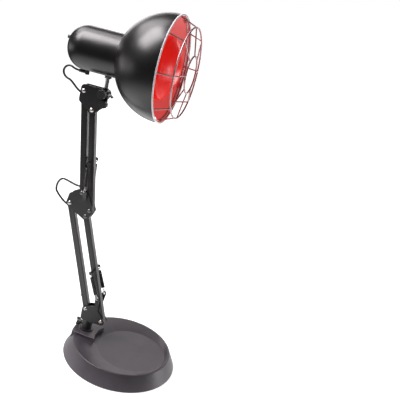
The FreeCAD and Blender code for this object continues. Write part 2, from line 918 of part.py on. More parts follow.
def make_spring_pin(label, spot, side_reach):
    reach = side_reach + d.hook_wire * 2
    bar = cylinder(label + "_bar", d.pin_radius, -reach, reach, along="y")
    heads = []
    for side in (-1, 1):
        low = reach if side > 0 else -reach - d.pin_head_length
        high = reach + d.pin_head_length if side > 0 else -reach
        heads.append(cylinder(f"{label}_head_{side}", d.pin_head, low, high, along="y"))
    node(put(fuse(label, [bar] + heads), spot.x, 0, spot.z), label)


def make_spring(label, hook, pin, side_reach, side):
    """A closed coil with a hook ring at each end, from the ear's hole up to the cross pin."""
    back = hook.x - pin.x
    rise = pin.z - hook.z
    reach = length_of(back, rise)
    inner_ring = d.hook_radius - d.hook_wire
    top_ring = reach + d.pin_radius + d.run_gap * 2 - inner_ring
    foot_ring = torus(label + "_foot", d.hook_radius, d.hook_wire, along="x", z=d.hook_radius)
    head_ring = torus(label + "_top", d.hook_radius, d.hook_wire, along="y", z=top_ring)
    low = d.hook_radius * 2 - d.hook_wire / 2
    high = top_ring - d.hook_radius + d.hook_wire / 2
    neck = cylinder(label + "_neck", d.hook_wire, low, high)
    coil = cylinder(label + "_coil", d.coil_radius, low + d.hook_neck, high - d.hook_neck)
    spring = fuse(label, [coil, neck, foot_ring, head_ring])
    node(lean(spring, hook, slope_angle(back, rise), side_reach * side), label)


def grommet(name, height):
    """A rubber ring in a tube's rear wall, its lip outside."""
    half = d.tube_side / 2
    lip = cylinder(name + "_lip", d.grommet_radius, -half - d.grommet_lip, -half, along="x", z=height)
    seat = cylinder(name + "_seat", d.grommet_seat, -half, -half + d.tube_wall, along="x", z=height)
    hole = cylinder(
        name + "_hole", d.cord_radius + d.cord_gap, -d.tube_side, 0, along="x", z=height
    )
    return cut(name, fuse(name + "_rubber", [lip, seat]), [hole])


def make_arm():
    lower_holes = (d.lower_hole_bottom, d.lower_length - d.lower_hole_top)
    upper_holes = (d.upper_hole_bottom, d.upper_length - d.upper_hole_top)
    make_tube("lower_rear_tube", LOWER_REAR, d.lower_length, d.lower_lean, wall_holes=lower_holes)
    make_tube("lower_front_tube", LOWER_FRONT, d.lower_length, d.lower_lean, d.lower_pin_along)
    make_tube("upper_rear_tube", UPPER_REAR, d.upper_length, d.upper_lean, wall_holes=upper_holes)
    make_tube("upper_front_tube", UPPER_FRONT, d.upper_length, d.upper_lean, d.upper_pin_along)
    for label, heights, foot, angle in (
        ("lower_tube_grommets", lower_holes, LOWER_REAR, d.lower_lean),
        ("upper_tube_grommets", upper_holes, UPPER_REAR, d.upper_lean),
    ):
        rings = [grommet(f"{label}_{k}", height) for k, height in enumerate(heights)]
        node(lean(group(label, rings), foot, angle), label)
    make_spring_pin("lower_spring_pin", LOWER_PIN, LOWER_SIDE)
    make_spring_pin("upper_spring_pin", UPPER_PIN, UPPER_SIDE)
    for side, word in ((-1, "near"), (1, "far")):
        make_spring(f"lower_{word}_spring", LOWER_HOOK, LOWER_PIN, LOWER_SIDE, side)
        make_spring(f"upper_{word}_spring", UPPER_HOOK, UPPER_PIN, UPPER_SIDE, side)


def make_elbow():
    lobes = [
        (ELBOW_FRONT, d.lobe),
        (UPPER_FRONT, d.lobe),
        (UPPER_REAR.moved(d.elbow_top_ahead, -d.elbow_top_drop), d.lobe),
        (UPPER_REAR, d.lobe),
        (ELBOW_REAR.moved(d.elbow_back_ahead, d.elbow_back_rise), d.lobe),
        (ELBOW_REAR, d.lobe),
    ]
    hole = d.rivet_radius + d.snug_gap
    holes = [(spot, hole) for spot in (ELBOW_REAR, ELBOW_FRONT, UPPER_REAR, UPPER_FRONT)]
    for side, word in ((-1, "near"), (1, "far")):
        flat = plate(f"elbow_{word}_flat", lobes, holes, side)
        strap = ear(
            f"elbow_{word}_ear", UPPER_EAR, d.upper_ear_length, d.upper_ear_flare, side
        )
        slot = box(
            f"elbow_{word}_slot",
            (ELBOW_REAR.x - d.tube_side, UPPER_FRONT.x + d.upper_length),
            (-INNER, INNER),
            (ELBOW_FRONT.z - d.tube_side, UPPER_REAR.z + d.tube_side * 2),
        )
        bent = fuse(f"elbow_{word}_bent", [flat, strap])
        node(cut(f"elbow_{word}_plate", bent, [slot]), f"elbow_{word}_plate")


# ---------------------------------------------------------------- head joint


def make_head_bracket():
    """The two plates at the arm's top; only the near one reaches down to the tension knob."""
    snug = d.rivet_radius + d.snug_gap
    holes = [(HEAD_REAR, snug), (HEAD_FRONT, snug), (TILT, d.tilt_bolt + d.snug_gap)]
    back = [
        (TILT, d.tilt_lobe),
        (HEAD_REAR.moved(d.head_plate_ahead, d.head_plate_rise), d.lobe),
        (HEAD_REAR.moved(d.head_plate_ahead, -d.head_plate_drop), d.lobe),
    ]
    front = (HEAD_FRONT, d.lobe)
    near = plate(
        "head_near_plate",
        [front, (KNOB, d.knob_lobe), *back],
        holes + [(KNOB, d.knob_bolt + d.run_gap)],
        -1,
    )
    node(near, "head_near_plate")
    node(plate("head_far_plate", [front, *back], holes, 1), "head_far_plate")


def fluted_grip(name, radius, flute, count, start, length):
    """A round grip with flutes along it, from a face at start towards the near side."""
    blank = cylinder(name + "_blank", radius, start - length, start, along="y")
    ring = radius + flute / 2
    flutes = []
    for k in range(count):
        angle = 2 * math.pi * k / count
        x = ring * math.cos(angle)
        z = ring * math.sin(angle)
        flutes.append(
            cylinder(f"{name}_flute_{k}", flute, start - length, start, along="y", x=x, z=z)
        )
    return cut(name + "_fluted", blank, flutes)


def make_tilt_joint():
    """The stud that the head tilts on, with a fluted nut on its near end and a wing nut on its far end."""
    face = OUTER + d.disc_step
    discs = []
    for word, low in (("near", -face), ("far", OUTER)):
        disc = cylinder(f"{word}_disc", d.tilt_disc, low, low + d.disc_step, along="y")
        hole = cylinder(f"{word}_disc_hole", d.tilt_bolt + d.snug_gap, -face, face, along="y")
        discs.append(cut(f"{word}_disc_bored", disc, [hole]))
    node(put(group("tilt_discs", discs), TILT.x, 0, TILT.z), "tilt_discs")

    start = -face - d.seat_gap
    end = face + d.wing_hub_length + 1
    near_end = start - d.grip_socket + d.seat_gap
    stud = cylinder("tilt_stud", d.tilt_bolt, near_end, end, along="y", x=TILT.x, z=TILT.z)
    node(stud, "tilt_bolt")

    grip = fluted_grip("tilt_grip", d.grip_radius, d.grip_flute, GRIP_FLUTES, start, d.grip_length)
    socket = cylinder(
        "tilt_grip_socket", d.tilt_bolt + d.run_gap, start - d.grip_socket, start, along="y"
    )
    node(put(cut("tilt_knob", grip, [socket]), TILT.x, 0, TILT.z), "tilt_knob")

    hub_end = end - 1
    hub = cylinder("wing_hub_bar", d.wing_hub, face, hub_end, along="y")
    wing_low = hub_end - d.wing_thickness * 1.6
    wing = box(
        "wing_plate",
        (-d.wing_span, d.wing_span),
        (wing_low, end + 1.5),
        (-d.wing_thickness / 2, d.wing_thickness / 2),
    )
    span = cylinder("wing_span_round", d.wing_span, wing_low, end + 2, along="y")
    clear = cylinder("wing_clear", d.wing_hub - 0.6, hub_end, end + 2, along="y")
    wings = cut("wing_pair", common("wing_blank", [wing, span]), [clear])
    thread = cylinder("wing_thread", d.tilt_bolt + d.run_gap, 0, end + 1, along="y")
    nut = cut("tilt_wing_nut", fuse("wing_joined", [hub, wings]), [thread])
    node(put(nut, TILT.x, 0, TILT.z, FreeCAD.Rotation(Y_AXIS, float(d.wing_turn))), "tilt_wing_nut")


def make_tension_knob():
    """The fluted knob below the tilt stud, its bolt held by a nut inside the near plate."""
    start = -OUTER - d.seat_gap
    grip = fluted_grip("knob", d.knob_radius, d.flute_radius, KNOB_FLUTES, start, d.knob_length)
    socket_end = start - d.knob_socket
    socket = cylinder("knob_socket_cut", d.knob_bolt + d.snug_gap, socket_end, start, along="y")
    node(put(cut("tension_knob", grip, [socket]), KNOB.x, 0, KNOB.z), "tension_knob")

    nut_face = -INNER + d.knob_nut_height
    tip = nut_face + 1
    bolt = cylinder("tension_bolt", d.knob_bolt, socket_end, tip, along="y", x=KNOB.x, z=KNOB.z)
    node(bolt, "tension_bolt")

    nut = hexagon("tension_hex", d.knob_nut, -INNER, nut_face, along="y")
    thread = cylinder("tension_thread", d.knob_bolt + d.run_gap, -INNER, tip, along="y")
    node(put(cut("tension_nut", nut, [thread]), KNOB.x, 0, KNOB.z), "tension_nut")


def make_knuckle():
    """The eye on the tilt bolt, with the upright boss that the head's rod turns in."""
    half = d.tube_side / 2
    eye = cylinder("knuckle_eye", d.knuckle_radius, -half, half, along="y")
    boss = cylinder("knuckle_boss", d.rod_radius + d.run_gap + d.knuckle_wall, 0, d.knuckle_top)
    across = cylinder("knuckle_cross", d.tilt_bolt + d.run_gap, -half - 1, half + 1, along="y")
    bore = cylinder("knuckle_bore", d.rod_radius + d.run_gap, d.rod_foot, d.knuckle_top + 1)
    knuckle = cut("head_knuckle", fuse("knuckle_solid", [eye, boss]), [across, bore])
    node(lean(knuckle, TILT, d.head_tilt), "head_knuckle")


def make_rod():
    under = d.head_height - d.cover_radius
    inside = under + d.cover_wall + 0.6
    top = inside + d.rod_nut_height + 3
    rod = group("head_rod", [cylinder("rod_bar", d.rod_radius, d.rod_foot + d.seat_gap, top)])
    node(lean(rod, TILT, d.head_tilt), "head_rod")
    nuts = []
    for k, low in enumerate((under - d.rod_nut_height, inside)):
        block = hexagon(f"rod_nut_{k}", d.rod_nut, low, low + d.rod_nut_height)
        thread = cylinder(f"rod_nut_thread_{k}", d.rod_radius + d.snug_gap, 0, top)
        nuts.append(cut(f"rod_nut_cut_{k}", block, [thread]))
    node(lean(group("rod_nuts", nuts), TILT, d.head_tilt), "rod_nuts")


# ---------------------------------------------------------------- head


def place_head(thing, label):
    """Head pieces are made about the head's axis, x forward, with the rod at x = 0."""
    node(lean(thing, HEAD, d.head_tilt), label)


def make_cover():
    front = d.shade_back
    back = -d.cover_back - d.cover_dome
    outside = cylinder("cover_outside", d.cover_radius, back, front, along="x")
    domed = round_edges(
        "cover_domed", outside, d.cover_dome, lambda e: e.BoundBox.XMax < float(back) + 0.01
    )
    inner = d.cover_radius - d.cover_wall
    inside = cylinder("cover_inside", inner, back + d.cover_wall, front, along="x")
    inside_domed = round_edges(
        "cover_inside_domed",
        inside,
        d.cover_dome - d.cover_wall,
        lambda e: e.BoundBox.XMax < float(back + d.cover_wall) + 0.01,
    )
    gland_x = -d.gland_back
    tools = [
        inside_domed,
        cylinder("cover_rod_hole", d.rod_radius + d.run_gap, -d.head_height, -inner / 2),
        cylinder("cover_gland_hole", d.gland_radius + d.snug_gap, -d.head_height, -inner / 2, x=gland_x),
        cylinder(
            "cover_switch_hole",
            d.switch_bush + d.snug_gap,
            back - 1,
            back + d.cover_dome / 2,
            along="x",
            z=d.switch_rise,
        ),
    ]
    hollow = cut("cover_hollow", domed, tools)
    tabs = []
    screws = []
    holes = []
    for side in (-1, 1):
        low = d.tab_screw_offset - d.tab_half
        reach = (low, inner + d.cover_wall / 2)
        across = reach if side > 0 else (-reach[1], -reach[0])
        tabs.append(
            box(
                f"cover_tab_{side}",
                (front - d.tab_depth, front),
                across,
                (-d.tab_half, d.tab_half),
            )
        )
        y = d.tab_screw_offset * side
        head_face = front + d.shade_wall
        start = front - d.tab_depth
        holes.append(
            cylinder(f"tab_hole_{side}", d.tab_screw + d.snug_gap, start - 1, front + 1, "x", y=y)
        )
        shank = cylinder(f"tab_shank_{side}", d.tab_screw, start, head_face, "x", y=y)
        head = cylinder(
            f"tab_head_{side}", d.tab_screw_head, head_face, head_face + 1.8, "x", y=y
        )
        screws.append(fuse(f"tab_screw_{side}", [shank, head]))
    cover = cut("socket_cover", fuse("cover_with_tabs", [hollow] + tabs), holes)
    place_head(cover, "socket_cover")
    place_head(group("cover_screws", screws), "cover_screws")


def make_shade():
    front = d.mouth
    back = d.shade_back
    wall = d.shade_wall
    outer = sphere("shade_outer", d.shade_radius, d.shade_centre)
    slab = cylinder("shade_slab", d.shade_radius + 1, back, front, along="x")
    bowl = common("shade_bowl", [outer, slab])
    inner = sphere("shade_inner", d.shade_radius - wall, d.shade_centre)
    inner_slab = cylinder("shade_inner_slab", d.shade_radius, back + wall, front + 1, along="x")
    hollow = common("shade_hollow", [inner, inner_slab])
    skin = cut("shade_skin", bowl, [hollow])
    bead = torus("shade_bead", rim_ring(), d.rim_bead, along="x", x=front)
    holes = [
        cylinder("shade_socket_hole", d.socket_radius + d.run_gap, back - 1, back + wall + 1, "x")
    ]
    for side in (-1, 1):
        y = d.tab_screw_offset * side
        holes.append(
            cylinder(f"shade_screw_{side}", d.tab_screw + d.snug_gap, back - 1, back + 3, "x", y=y)
        )
    place_head(cut("shade", fuse("shade_rimmed", [skin, bead]), holes), "shade")


def rim_ring():
    """The radius of the shade's rolled rim, in the middle of its wall at the mouth."""
    run = d.mouth - d.shade_centre
    radius = d.shade_radius - d.shade_wall / 2
    return Size(
        f"sqrt({radius.text} * {radius.text} - {run.text} * {run.text})",
        math.sqrt(radius.number ** 2 - run.number ** 2),
    )


def make_socket():
    back = -d.socket_back
    front = d.socket_front
    barrel = cylinder("socket_barrel", d.socket_radius, back, front, along="x")
    flange = cylinder(
        "socket_flange_disc", d.socket_flange, d.shade_back - 3, d.shade_back, along="x"
    )
    glass_start = -d.socket_floor + d.contact_height + d.cap_length
    bores = [
        cylinder("socket_bore_cut", d.socket_bore, -d.socket_floor, front, along="x"),
        cylinder("socket_mouth_cut", d.socket_mouth, glass_start, front + 1, along="x"),
    ]
    place_head(cut("lamp_socket", fuse("socket_solid", [barrel, flange]), bores), "lamp_socket")

    low = d.shade_back + d.shade_wall
    ring = cylinder("ring_disc", d.ring_outer, low, low + d.ring_length, along="x")
    thread = cylinder("ring_thread", d.socket_radius + d.snug_gap, 0, front + 1, along="x")
    place_head(cut("socket_ring", ring, [thread]), "socket_ring")

    outer = d.socket_bore - d.snug_gap
    shell_back = -d.socket_floor
    shell = cylinder("shell_tube", outer, shell_back, glass_start, along="x")
    shell_bore = cylinder("shell_bore", outer - d.shell_gauge, shell_back, front, along="x")
    place_head(cut("socket_thread", shell, [shell_bore]), "socket_thread")

    tip = -d.socket_floor + d.contact_height
    place_head(
        group(
            "contact_alone",
            [cylinder("contact_disc", d.contact_radius, -d.socket_floor, tip, along="x")],
        ),
        "socket_contact",
    )


def bulb_outline(inset):
    """Half the glass's outline, set in by an inset, from the neck to the crown on the axis."""
    neck = Vector(cap_end(), 0, float(d.bulb_neck) - inset)
    shoulder = Vector(float(d.bulb_shoulder), 0, float(d.bulb_neck) + 2 - inset)
    widest = float(d.bulb_widest)
    radius = float(d.bulb_radius) - inset
    crown = Vector(float(d.bulb_front) - inset, 0, 0)
    flank = Vector(widest - 14, 0, radius - 5)
    flank_middle = Vector((shoulder.x + flank.x) / 2 + 1, 0, (shoulder.z + flank.z) / 2 - 3)
    edge_middle = Vector(widest - 6.5, 0, radius - 1.2)
    edge = Vector(widest, 0, radius)
    brow = Vector(widest + 7, 0, radius - 4.5)
    brow_middle = Vector(widest + 4.5, 0, radius - 1.5)
    depth = crown.x - brow.x
    dome = (brow.z * brow.z + depth * depth) / (2 * depth)
    half_angle = math.asin(brow.z / dome) / 2
    centre = crown.x - dome
    dome_middle = Vector(centre + dome * math.cos(half_angle), 0, dome * math.sin(half_angle))
    return [
        Part.LineSegment(neck, shoulder).toShape(),
        Part.Arc(shoulder, flank_middle, flank).toShape(),
        Part.Arc(flank, edge_middle, edge).toShape(),
        Part.Arc(edge, brow_middle, brow).toShape(),
        Part.Arc(brow, dome_middle, crown).toShape(),
    ]


def bulb_face():
    """The glass wall on one side of the axis, open at the neck."""
    outside = bulb_outline(0)
    inside = bulb_outline(float(d.glass_wall))
    ends = [
        Part.LineSegment(outside[i].Vertexes[k].Point, inside[i].Vertexes[k].Point).toShape()
        for i, k in ((0, 0), (-1, -1))
    ]
    return Part.Face(Part.Wire(Part.__sortEdges__(outside + inside + ends)))


def cap_end():
    """Where the bulb's metal cap meets its glass."""
    return float(-d.socket_floor + d.contact_height + d.cap_length)


def head_place():
    turn = FreeCAD.Rotation(LEAN_AXIS, float(d.head_tilt))
    return FreeCAD.Placement(Vector(float(HEAD.x), 0, float(HEAD.z)), turn)


def make_bulb():
    free_shape("bulb_glass", bulb_face().revolve(Vector(), X_AXIS, 360), head_place())

    start = -d.socket_floor + d.contact_height
    body = cylinder("cap_body", d.cap_radius, start + 4, start + d.cap_length, along="x")
    nose = cone("cap_nose", 4.6, d.cap_radius, start, start + 4, along="x")
    place_head(fuse("bulb_cap", [body, nose]), "bulb_cap")


def wire_between(start, end, radius):
    run = end - start
    return Part.makeCylinder(radius, run.Length, start, run)


def make_guard():
    """Three rings and the bars that join them, welded wire."""
    wire = float(d.guard_wire)
    bar = float(d.guard_bar)
    seat = float(d.mouth - d.guard_seat)
    rings = (
        (seat, float(d.guard_rim_ring)),
        (float(d.guard_front), float(d.guard_front_ring)),
        (float(d.guard_nose), float(d.guard_small_ring)),
    )
    shapes = [Part.makeTorus(radius, wire, Vector(x, 0, 0), X_AXIS) for x, radius in rings]
    for k in range(GUARD_BARS):
        angle = 2 * math.pi * k / GUARD_BARS
        points = [
            Vector(x, radius * math.cos(angle), radius * math.sin(angle)) for x, radius in rings
        ]
        for start, end in zip(points, points[1:]):
            shapes.append(wire_between(start, end, bar))
    guard = shapes[0].multiFuse(shapes[1:])
    free_shape("wire_guard", guard.removeSplitter(), head_place())


def make_clips():
    """Spring clips inside the rim that the guard's outer ring snaps into."""
    clips = []
    half = d.clip_half
    seat = d.mouth - d.guard_seat
    low = d.guard_rim_ring - d.guard_wire - 1
    for k in range(GUARD_CLIPS):
        angle = 360.0 * (k + 0.5) / GUARD_CLIPS + 22.5
        block = box(
            f"clip_block_{k}",
            (seat - d.clip_reach, seat + d.clip_reach),
            (-half, half),
            (low, d.shade_radius),
        )
        wall = sphere(f"clip_wall_{k}", d.shade_radius - d.shade_wall, d.shade_centre)
        groove = torus(f"clip_groove_{k}", d.guard_rim_ring, d.guard_wire + d.run_gap, "x", x=seat)
        clip = cut(f"guard_clip_{k}", common(f"clip_blank_{k}", [block, wall]), [groove])
        clip.Placement = FreeCAD.Placement(Vector(), FreeCAD.Rotation(X_AXIS, angle))
        clips.append(clip)
    place_head(group("guard_clips", clips), "guard_clips")


def make_switch():
    """A turn switch in the cover's domed end."""
    z = d.switch_rise
    wall_x = switch_wall()
    case_front = wall_x + d.cover_wall + 4.5
    case = cylinder("switch_case", d.switch_case, case_front, case_front + d.switch_case_length, "x", z=z)
    bush = cylinder("switch_bush_bar", d.switch_bush, wall_x - d.switch_nut_height - 0.4, case_front, "x", z=z)
    stem_hole = cylinder(
        "switch_stem_hole",
        d.switch_stem + d.run_gap,
        wall_x - d.switch_nut_height - 2,
        case_front + 3,
        "x",
        z=z,
    )
    place_head(cut("switch_body", fuse("switch_solid", [case, bush]), [stem_hole]), "switch_body")

    nut_face = -d.cover_back - d.cover_dome - d.snug_gap
    nut = hexagon("switch_hex", d.switch_nut, nut_face - d.switch_nut_height, nut_face, "x", z=z)
    nut_hole = cylinder("switch_nut_hole", d.switch_bush + d.snug_gap, nut_face - 3, nut_face + 1, "x", z=z)
    place_head(cut("switch_nut", nut, [nut_hole]), "switch_nut")

    knob_front = nut_face - d.switch_nut_height - d.seat_gap
    knob = cylinder("switch_grip", d.switch_knob, knob_front - d.switch_knob_length, knob_front, "x", z=z)
    rib = box(
        "switch_rib",
        (knob_front - d.switch_knob_length - 1.2, knob_front - 1),
        (-0.8, 0.8),
        (z - d.switch_knob + 0.2, z + d.switch_knob - 0.2),
    )
    stem = cylinder("switch_stem_bar", d.switch_stem, knob_front - 1, case_front + 2, "x", z=z)
    place_head(fuse("switch_knob", [knob, rib, stem]), "switch_knob")


def switch_wall():
    """Where the domed end lies, at the switch's height."""
    flat = d.cover_radius - d.cover_dome
    rise = d.switch_rise - flat
    depth = Size(
        f"sqrt({d.cover_dome.text} * {d.cover_dome.text} - {rise.text} * {rise.text})",
        math.sqrt(d.cover_dome.number ** 2 - rise.number ** 2),
    )
    return -d.cover_back - depth


def gland_drop():
    """How far the gland's sleeve runs below the head's axis."""
    return d.cover_radius + d.gland_sleeve + d.seat_gap


def make_gland():
    """The rubber strain relief under the cover, bent to lead the flex backwards."""
    x = -d.gland_back
    drop = gland_drop()
    stub = cylinder(
        "gland_stub",
        d.gland_radius,
        -drop - d.gland_radius,
        -d.cover_radius + d.cover_wall * 2,
        x=x,
    )
    sleeve = cylinder("gland_sleeve_bar", d.gland_sleeve, x - d.gland_reach, x, "x", z=-drop)
    place_head(fuse("cord_gland", [stub, sleeve]), "cord_gland")


# ---------------------------------------------------------------- flex

BEND_SHARE = 0.45


def cord_path(points):
    """Straight runs joined by tangent arcs, each as large as its two runs allow."""
    edges = []
    last = points[0]
    radii = []
    for before, corner, after in zip(points, points[1:], points[2:]):
        back = before - corner
        ahead = after - corner
        shorter = min(back.Length, ahead.Length)
        half_turn = (math.pi - back.getAngle(ahead)) / 2
        cut_back = BEND_SHARE * shorter
        radius = cut_back / math.tan(half_turn)
        radii.append(radius)
        back_way = back / back.Length
        ahead_way = ahead / ahead.Length
        start = corner + back_way * cut_back
        end = corner + ahead_way * cut_back
        middle_way = back_way + ahead_way
        middle_way = middle_way / middle_way.Length
        middle = corner + middle_way * (radius / math.cos(half_turn) - radius)
        edges.append(Part.LineSegment(last, start).toShape())
        edges.append(Part.Arc(start, middle, end).toShape())
        last = end
    edges.append(Part.LineSegment(last, points[-1]).toShape())
    return Part.Wire(edges), radii


def make_cord(label, points):
    """A round flex along its route."""
    path, radii = cord_path(points)
    radius = float(d.cord_radius)
    heading = points[1] - points[0]
    ring = Part.Wire([Part.Circle(points[0], heading, radius).toShape()])
    tube = path.makePipeShell([ring], True, False)
    section = math.pi * radius * radius
    ratio = tube.Volume / (section * path.Length)
    print(label, "length", round(path.Length, 1), "volume over section times length", round(ratio, 4))
    print(label, "bend radii", [round(r, 1) for r in radii])
    free_shape(label, tube)


def wall_spot(foot, angle, height, outwards, slant=0):
    """A point on a grommet's line, which may rise by a slant, so far out from the rear wall."""
    rise = as_size(outwards) * math.tan(math.radians(float(slant)))
    spot = foot.along(angle, height + rise, -(d.tube_side / 2 + outwards))
    return Vector(float(spot.x), 0, float(spot.z))


def loop_corners(centre, deep, tall, first, last):
    """The corners of a loop's round end, which hangs behind the arm."""
    corners = []
    for k in range(LOOP_CORNERS):
        share = k / (LOOP_CORNERS - 1)
        angle = math.radians(float(first) + float(last - first) * share)
        x = float(centre.x) + float(deep) * math.cos(angle)
        z = float(centre.z) + float(tall) * math.sin(angle)
        corners.append(Vector(x, 0, z))
    return corners


def make_elbow_cord():
    """Out of the upper rear tube, round behind the elbow and into the lower one."""
    foot = (UPPER_REAR, d.upper_lean, d.upper_hole_bottom)
    top = (LOWER_REAR, d.lower_lean, d.lower_length - d.lower_hole_top)
    centre = ELBOW_REAR.moved(-d.elbow_loop_back, d.elbow_loop_rise)
    route = [
        wall_spot(*foot, -d.cord_inside),
        wall_spot(*foot, d.cord_straight),
        *loop_corners(
            centre, d.elbow_loop_deep, d.elbow_loop_tall, d.elbow_loop_first, d.elbow_loop_last
        ),
        wall_spot(*top, d.cord_straight, d.grommet_slant),
        wall_spot(*top, -d.cord_inside, d.grommet_slant),
    ]
    make_cord("elbow_cord", route)


def make_head_cord():
    """Out of the gland, round behind the cover and into the upper rear tube."""
    top = (UPPER_REAR, d.upper_lean, d.upper_length - d.upper_hole_top)
    place = head_place()
    sleeve_end = Vector(-float(d.gland_back + d.gland_reach), 0, -float(gland_drop()))
    centre = HEAD_REAR.moved(-d.head_loop_back, d.head_loop_rise)
    route = [
        place.multVec(sleeve_end),
        place.multVec(sleeve_end - X_AXIS * float(d.cord_straight)),
        *loop_corners(
            centre, d.head_loop_deep, d.head_loop_tall, d.head_loop_first, d.head_loop_last
        ),
        wall_spot(*top, d.cord_straight, d.grommet_slant),
        wall_spot(*top, -d.cord_inside, d.grommet_slant),
    ]
    make_cord("head_cord", route)


# ---------------------------------------------------------------- build, test and write


def build():
    make_base()
    make_platform()
    make_post()
    make_lock_screw()
    make_turret()
    make_arm()
    make_elbow()
    make_rivets()
    make_head_bracket()
    make_tilt_joint()
    make_tension_knob()
    make_knuckle()
    make_rod()
    make_cover()
    make_shade()
    make_socket()
    make_bulb()
    make_guard()
    make_clips()
    make_switch()
    make_gland()
    make_elbow_cord()
    make_head_cord()
    doc.recompute()


def check():
    for thing in doc.Objects:
        if "Invalid" in thing.State or "Error" in thing.State:
            raise RuntimeError(f"{thing.Name} failed: {thing.State}")
    for piece in nodes:
        if piece.Shape.isNull() or not piece.Shape.isValid():
            raise RuntimeError(f"{piece.Label} has no valid shape")
        if not piece.Shape.Solids:
            raise RuntimeError(f"{piece.Label} has no solid")


def write():
    os.makedirs("parts", exist_ok=True)
    for piece in nodes:
        piece.Shape.exportStep(f"parts/{piece.Label}.step")
        print(piece.Label, len(piece.Shape.Solids), round(piece.Shape.Volume, 1))


build()
check()
write()
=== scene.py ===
"""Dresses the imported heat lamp: flex, springs, base, shade, cover, bulb and every finish.

Everything is in metres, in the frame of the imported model.
"""

import json
import math

import bmesh
import bpy
from mathutils import Matrix, Vector, kdtree

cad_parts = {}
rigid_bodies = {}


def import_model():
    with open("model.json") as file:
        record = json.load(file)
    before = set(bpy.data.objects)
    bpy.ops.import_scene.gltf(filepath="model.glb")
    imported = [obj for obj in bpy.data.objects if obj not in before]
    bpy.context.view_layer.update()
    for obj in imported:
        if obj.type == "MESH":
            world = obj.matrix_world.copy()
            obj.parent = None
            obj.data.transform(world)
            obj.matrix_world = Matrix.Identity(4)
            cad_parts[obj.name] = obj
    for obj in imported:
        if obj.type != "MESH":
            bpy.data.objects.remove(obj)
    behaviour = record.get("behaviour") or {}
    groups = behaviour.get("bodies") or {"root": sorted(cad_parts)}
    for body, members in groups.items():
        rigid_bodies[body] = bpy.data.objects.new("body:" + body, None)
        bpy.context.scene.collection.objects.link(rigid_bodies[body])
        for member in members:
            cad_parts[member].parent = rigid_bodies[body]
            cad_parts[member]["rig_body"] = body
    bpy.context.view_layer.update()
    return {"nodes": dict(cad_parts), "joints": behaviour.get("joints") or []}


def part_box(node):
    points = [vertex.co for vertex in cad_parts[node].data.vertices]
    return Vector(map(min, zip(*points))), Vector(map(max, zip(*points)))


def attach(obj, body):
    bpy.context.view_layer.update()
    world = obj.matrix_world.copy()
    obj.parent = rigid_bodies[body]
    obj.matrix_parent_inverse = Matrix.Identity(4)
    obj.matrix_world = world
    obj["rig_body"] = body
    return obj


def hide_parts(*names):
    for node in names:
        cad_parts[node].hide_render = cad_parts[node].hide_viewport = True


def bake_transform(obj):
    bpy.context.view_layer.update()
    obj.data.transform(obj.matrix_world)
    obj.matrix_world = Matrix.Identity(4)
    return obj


bl_info = {
    "name": "Heat lamp dressing",
    "version": (1, 0, 0),
    "blender": (4, 5, 0),
    "location": "View3D > Sidebar > Heat lamp",
    "description": "Builds the visible pieces and finishes of a swing-arm heat lamp",
    "category": "Object",
}

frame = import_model()
NODES = frame["nodes"]
JOINTS = {joint["name"]: joint for joint in frame["joints"]}

X_AXIS = Vector((1, 0, 0))
Y_AXIS = Vector((0, 1, 0))
Z_AXIS = Vector((0, 0, 1))
FULL_TURN = 2 * math.pi
RIGHT_ANGLE = math.radians(90)


def pivot(name):
    return Vector(JOINTS[name]["pos_m"])


def axis_of(name):
    return Vector(JOINTS[name]["axis"]).normalized()


def frame_at(origin, ahead, upward):
    """A frame whose x points ahead and whose z points up, at an origin."""
    across = upward.cross(ahead).normalized()
    turn = Matrix((ahead, across, ahead.cross(across))).transposed()
    return Matrix.Translation(origin) @ turn.to_4x4()


# The head's frame: x out of the shade's mouth, z up, and its origin on the bulb's axis
HEAD = frame_at(pivot("bulb_turn"), axis_of("bulb_turn"), axis_of("head_turn"))


# ---------------------------------------------------------------- sizes and colours


def length(name, description, default):
    return bpy.props.FloatProperty(
        name=name, description=description, default=default, unit="LENGTH"
    )


def colour(name, description, default):
    return bpy.props.FloatVectorProperty(
        name=name, description=description, default=default, subtype="COLOR", size=3, min=0, max=1
    )


class LampSizes(bpy.types.PropertyGroup):
    base_radius: length("Base radius", "Outer radius of the base", 0.095)
    rim_radius: length("Rim radius", "Radius of the base's crest", 0.0826)
    crest_width: length("Crest width", "Flat width of the crest", 0.0036)
    base_height: length("Base height", "Height of the base's crest", 0.0246)
    base_lift: length("Base lift", "Gap between the table and the base's wall", 0.001)
    base_wall: length("Base wall", "Thickness of the pressed shell", 0.0015)
    disc_radius: length("Disc radius", "Radius of the sunk disc", 0.057)
    disc_ahead: length("Disc ahead", "How far the disc lies ahead of the middle", 0.0175)
    disc_height: length("Disc height", "Height of the sunk disc", 0.0196)
    cover_radius: length("Cover radius", "Radius of the socket cover", 0.0331)
    cover_back: length("Cover length", "Where the cover's dome starts", 0.0389)
    cover_dome: length("Cover dome", "Radius of the cover's domed end", 0.0287)
    shade_radius: length("Shade radius", "Radius of the shade's bowl", 0.080)
    shade_centre: length("Shade centre", "Where the bowl is widest", 0.0903)
    shade_back: length("Shade back", "Where the shade meets the cover", 0.019)
    shade_hole: length("Shade hole", "Radius of the shade's hole for the socket", 0.01815)
    mouth: length("Mouth", "Where the shade's rim lies", 0.095)
    sheet_wall: length("Sheet", "Thickness of the spun sheet", 0.0012)
    rim_bead: length("Rim bead", "Radius of the rolled rim", 0.0015)
    spring_radius: length("Spring radius", "Outer radius of a coil", 0.0033)
    hook_radius: length("Hook radius", "Radius of a spring's hook ring", 0.0032)
    hook_neck: length("Hook neck", "Straight wire between ring and coil", 0.004)
    pin_radius: length("Pin radius", "Radius of a spring's cross pin", 0.0015)
    spring_wire: length("Spring wire", "Radius of the spring's wire", 0.00055)
    flex_diameter: length("Flex", "Diameter of the flex", 0.0032)


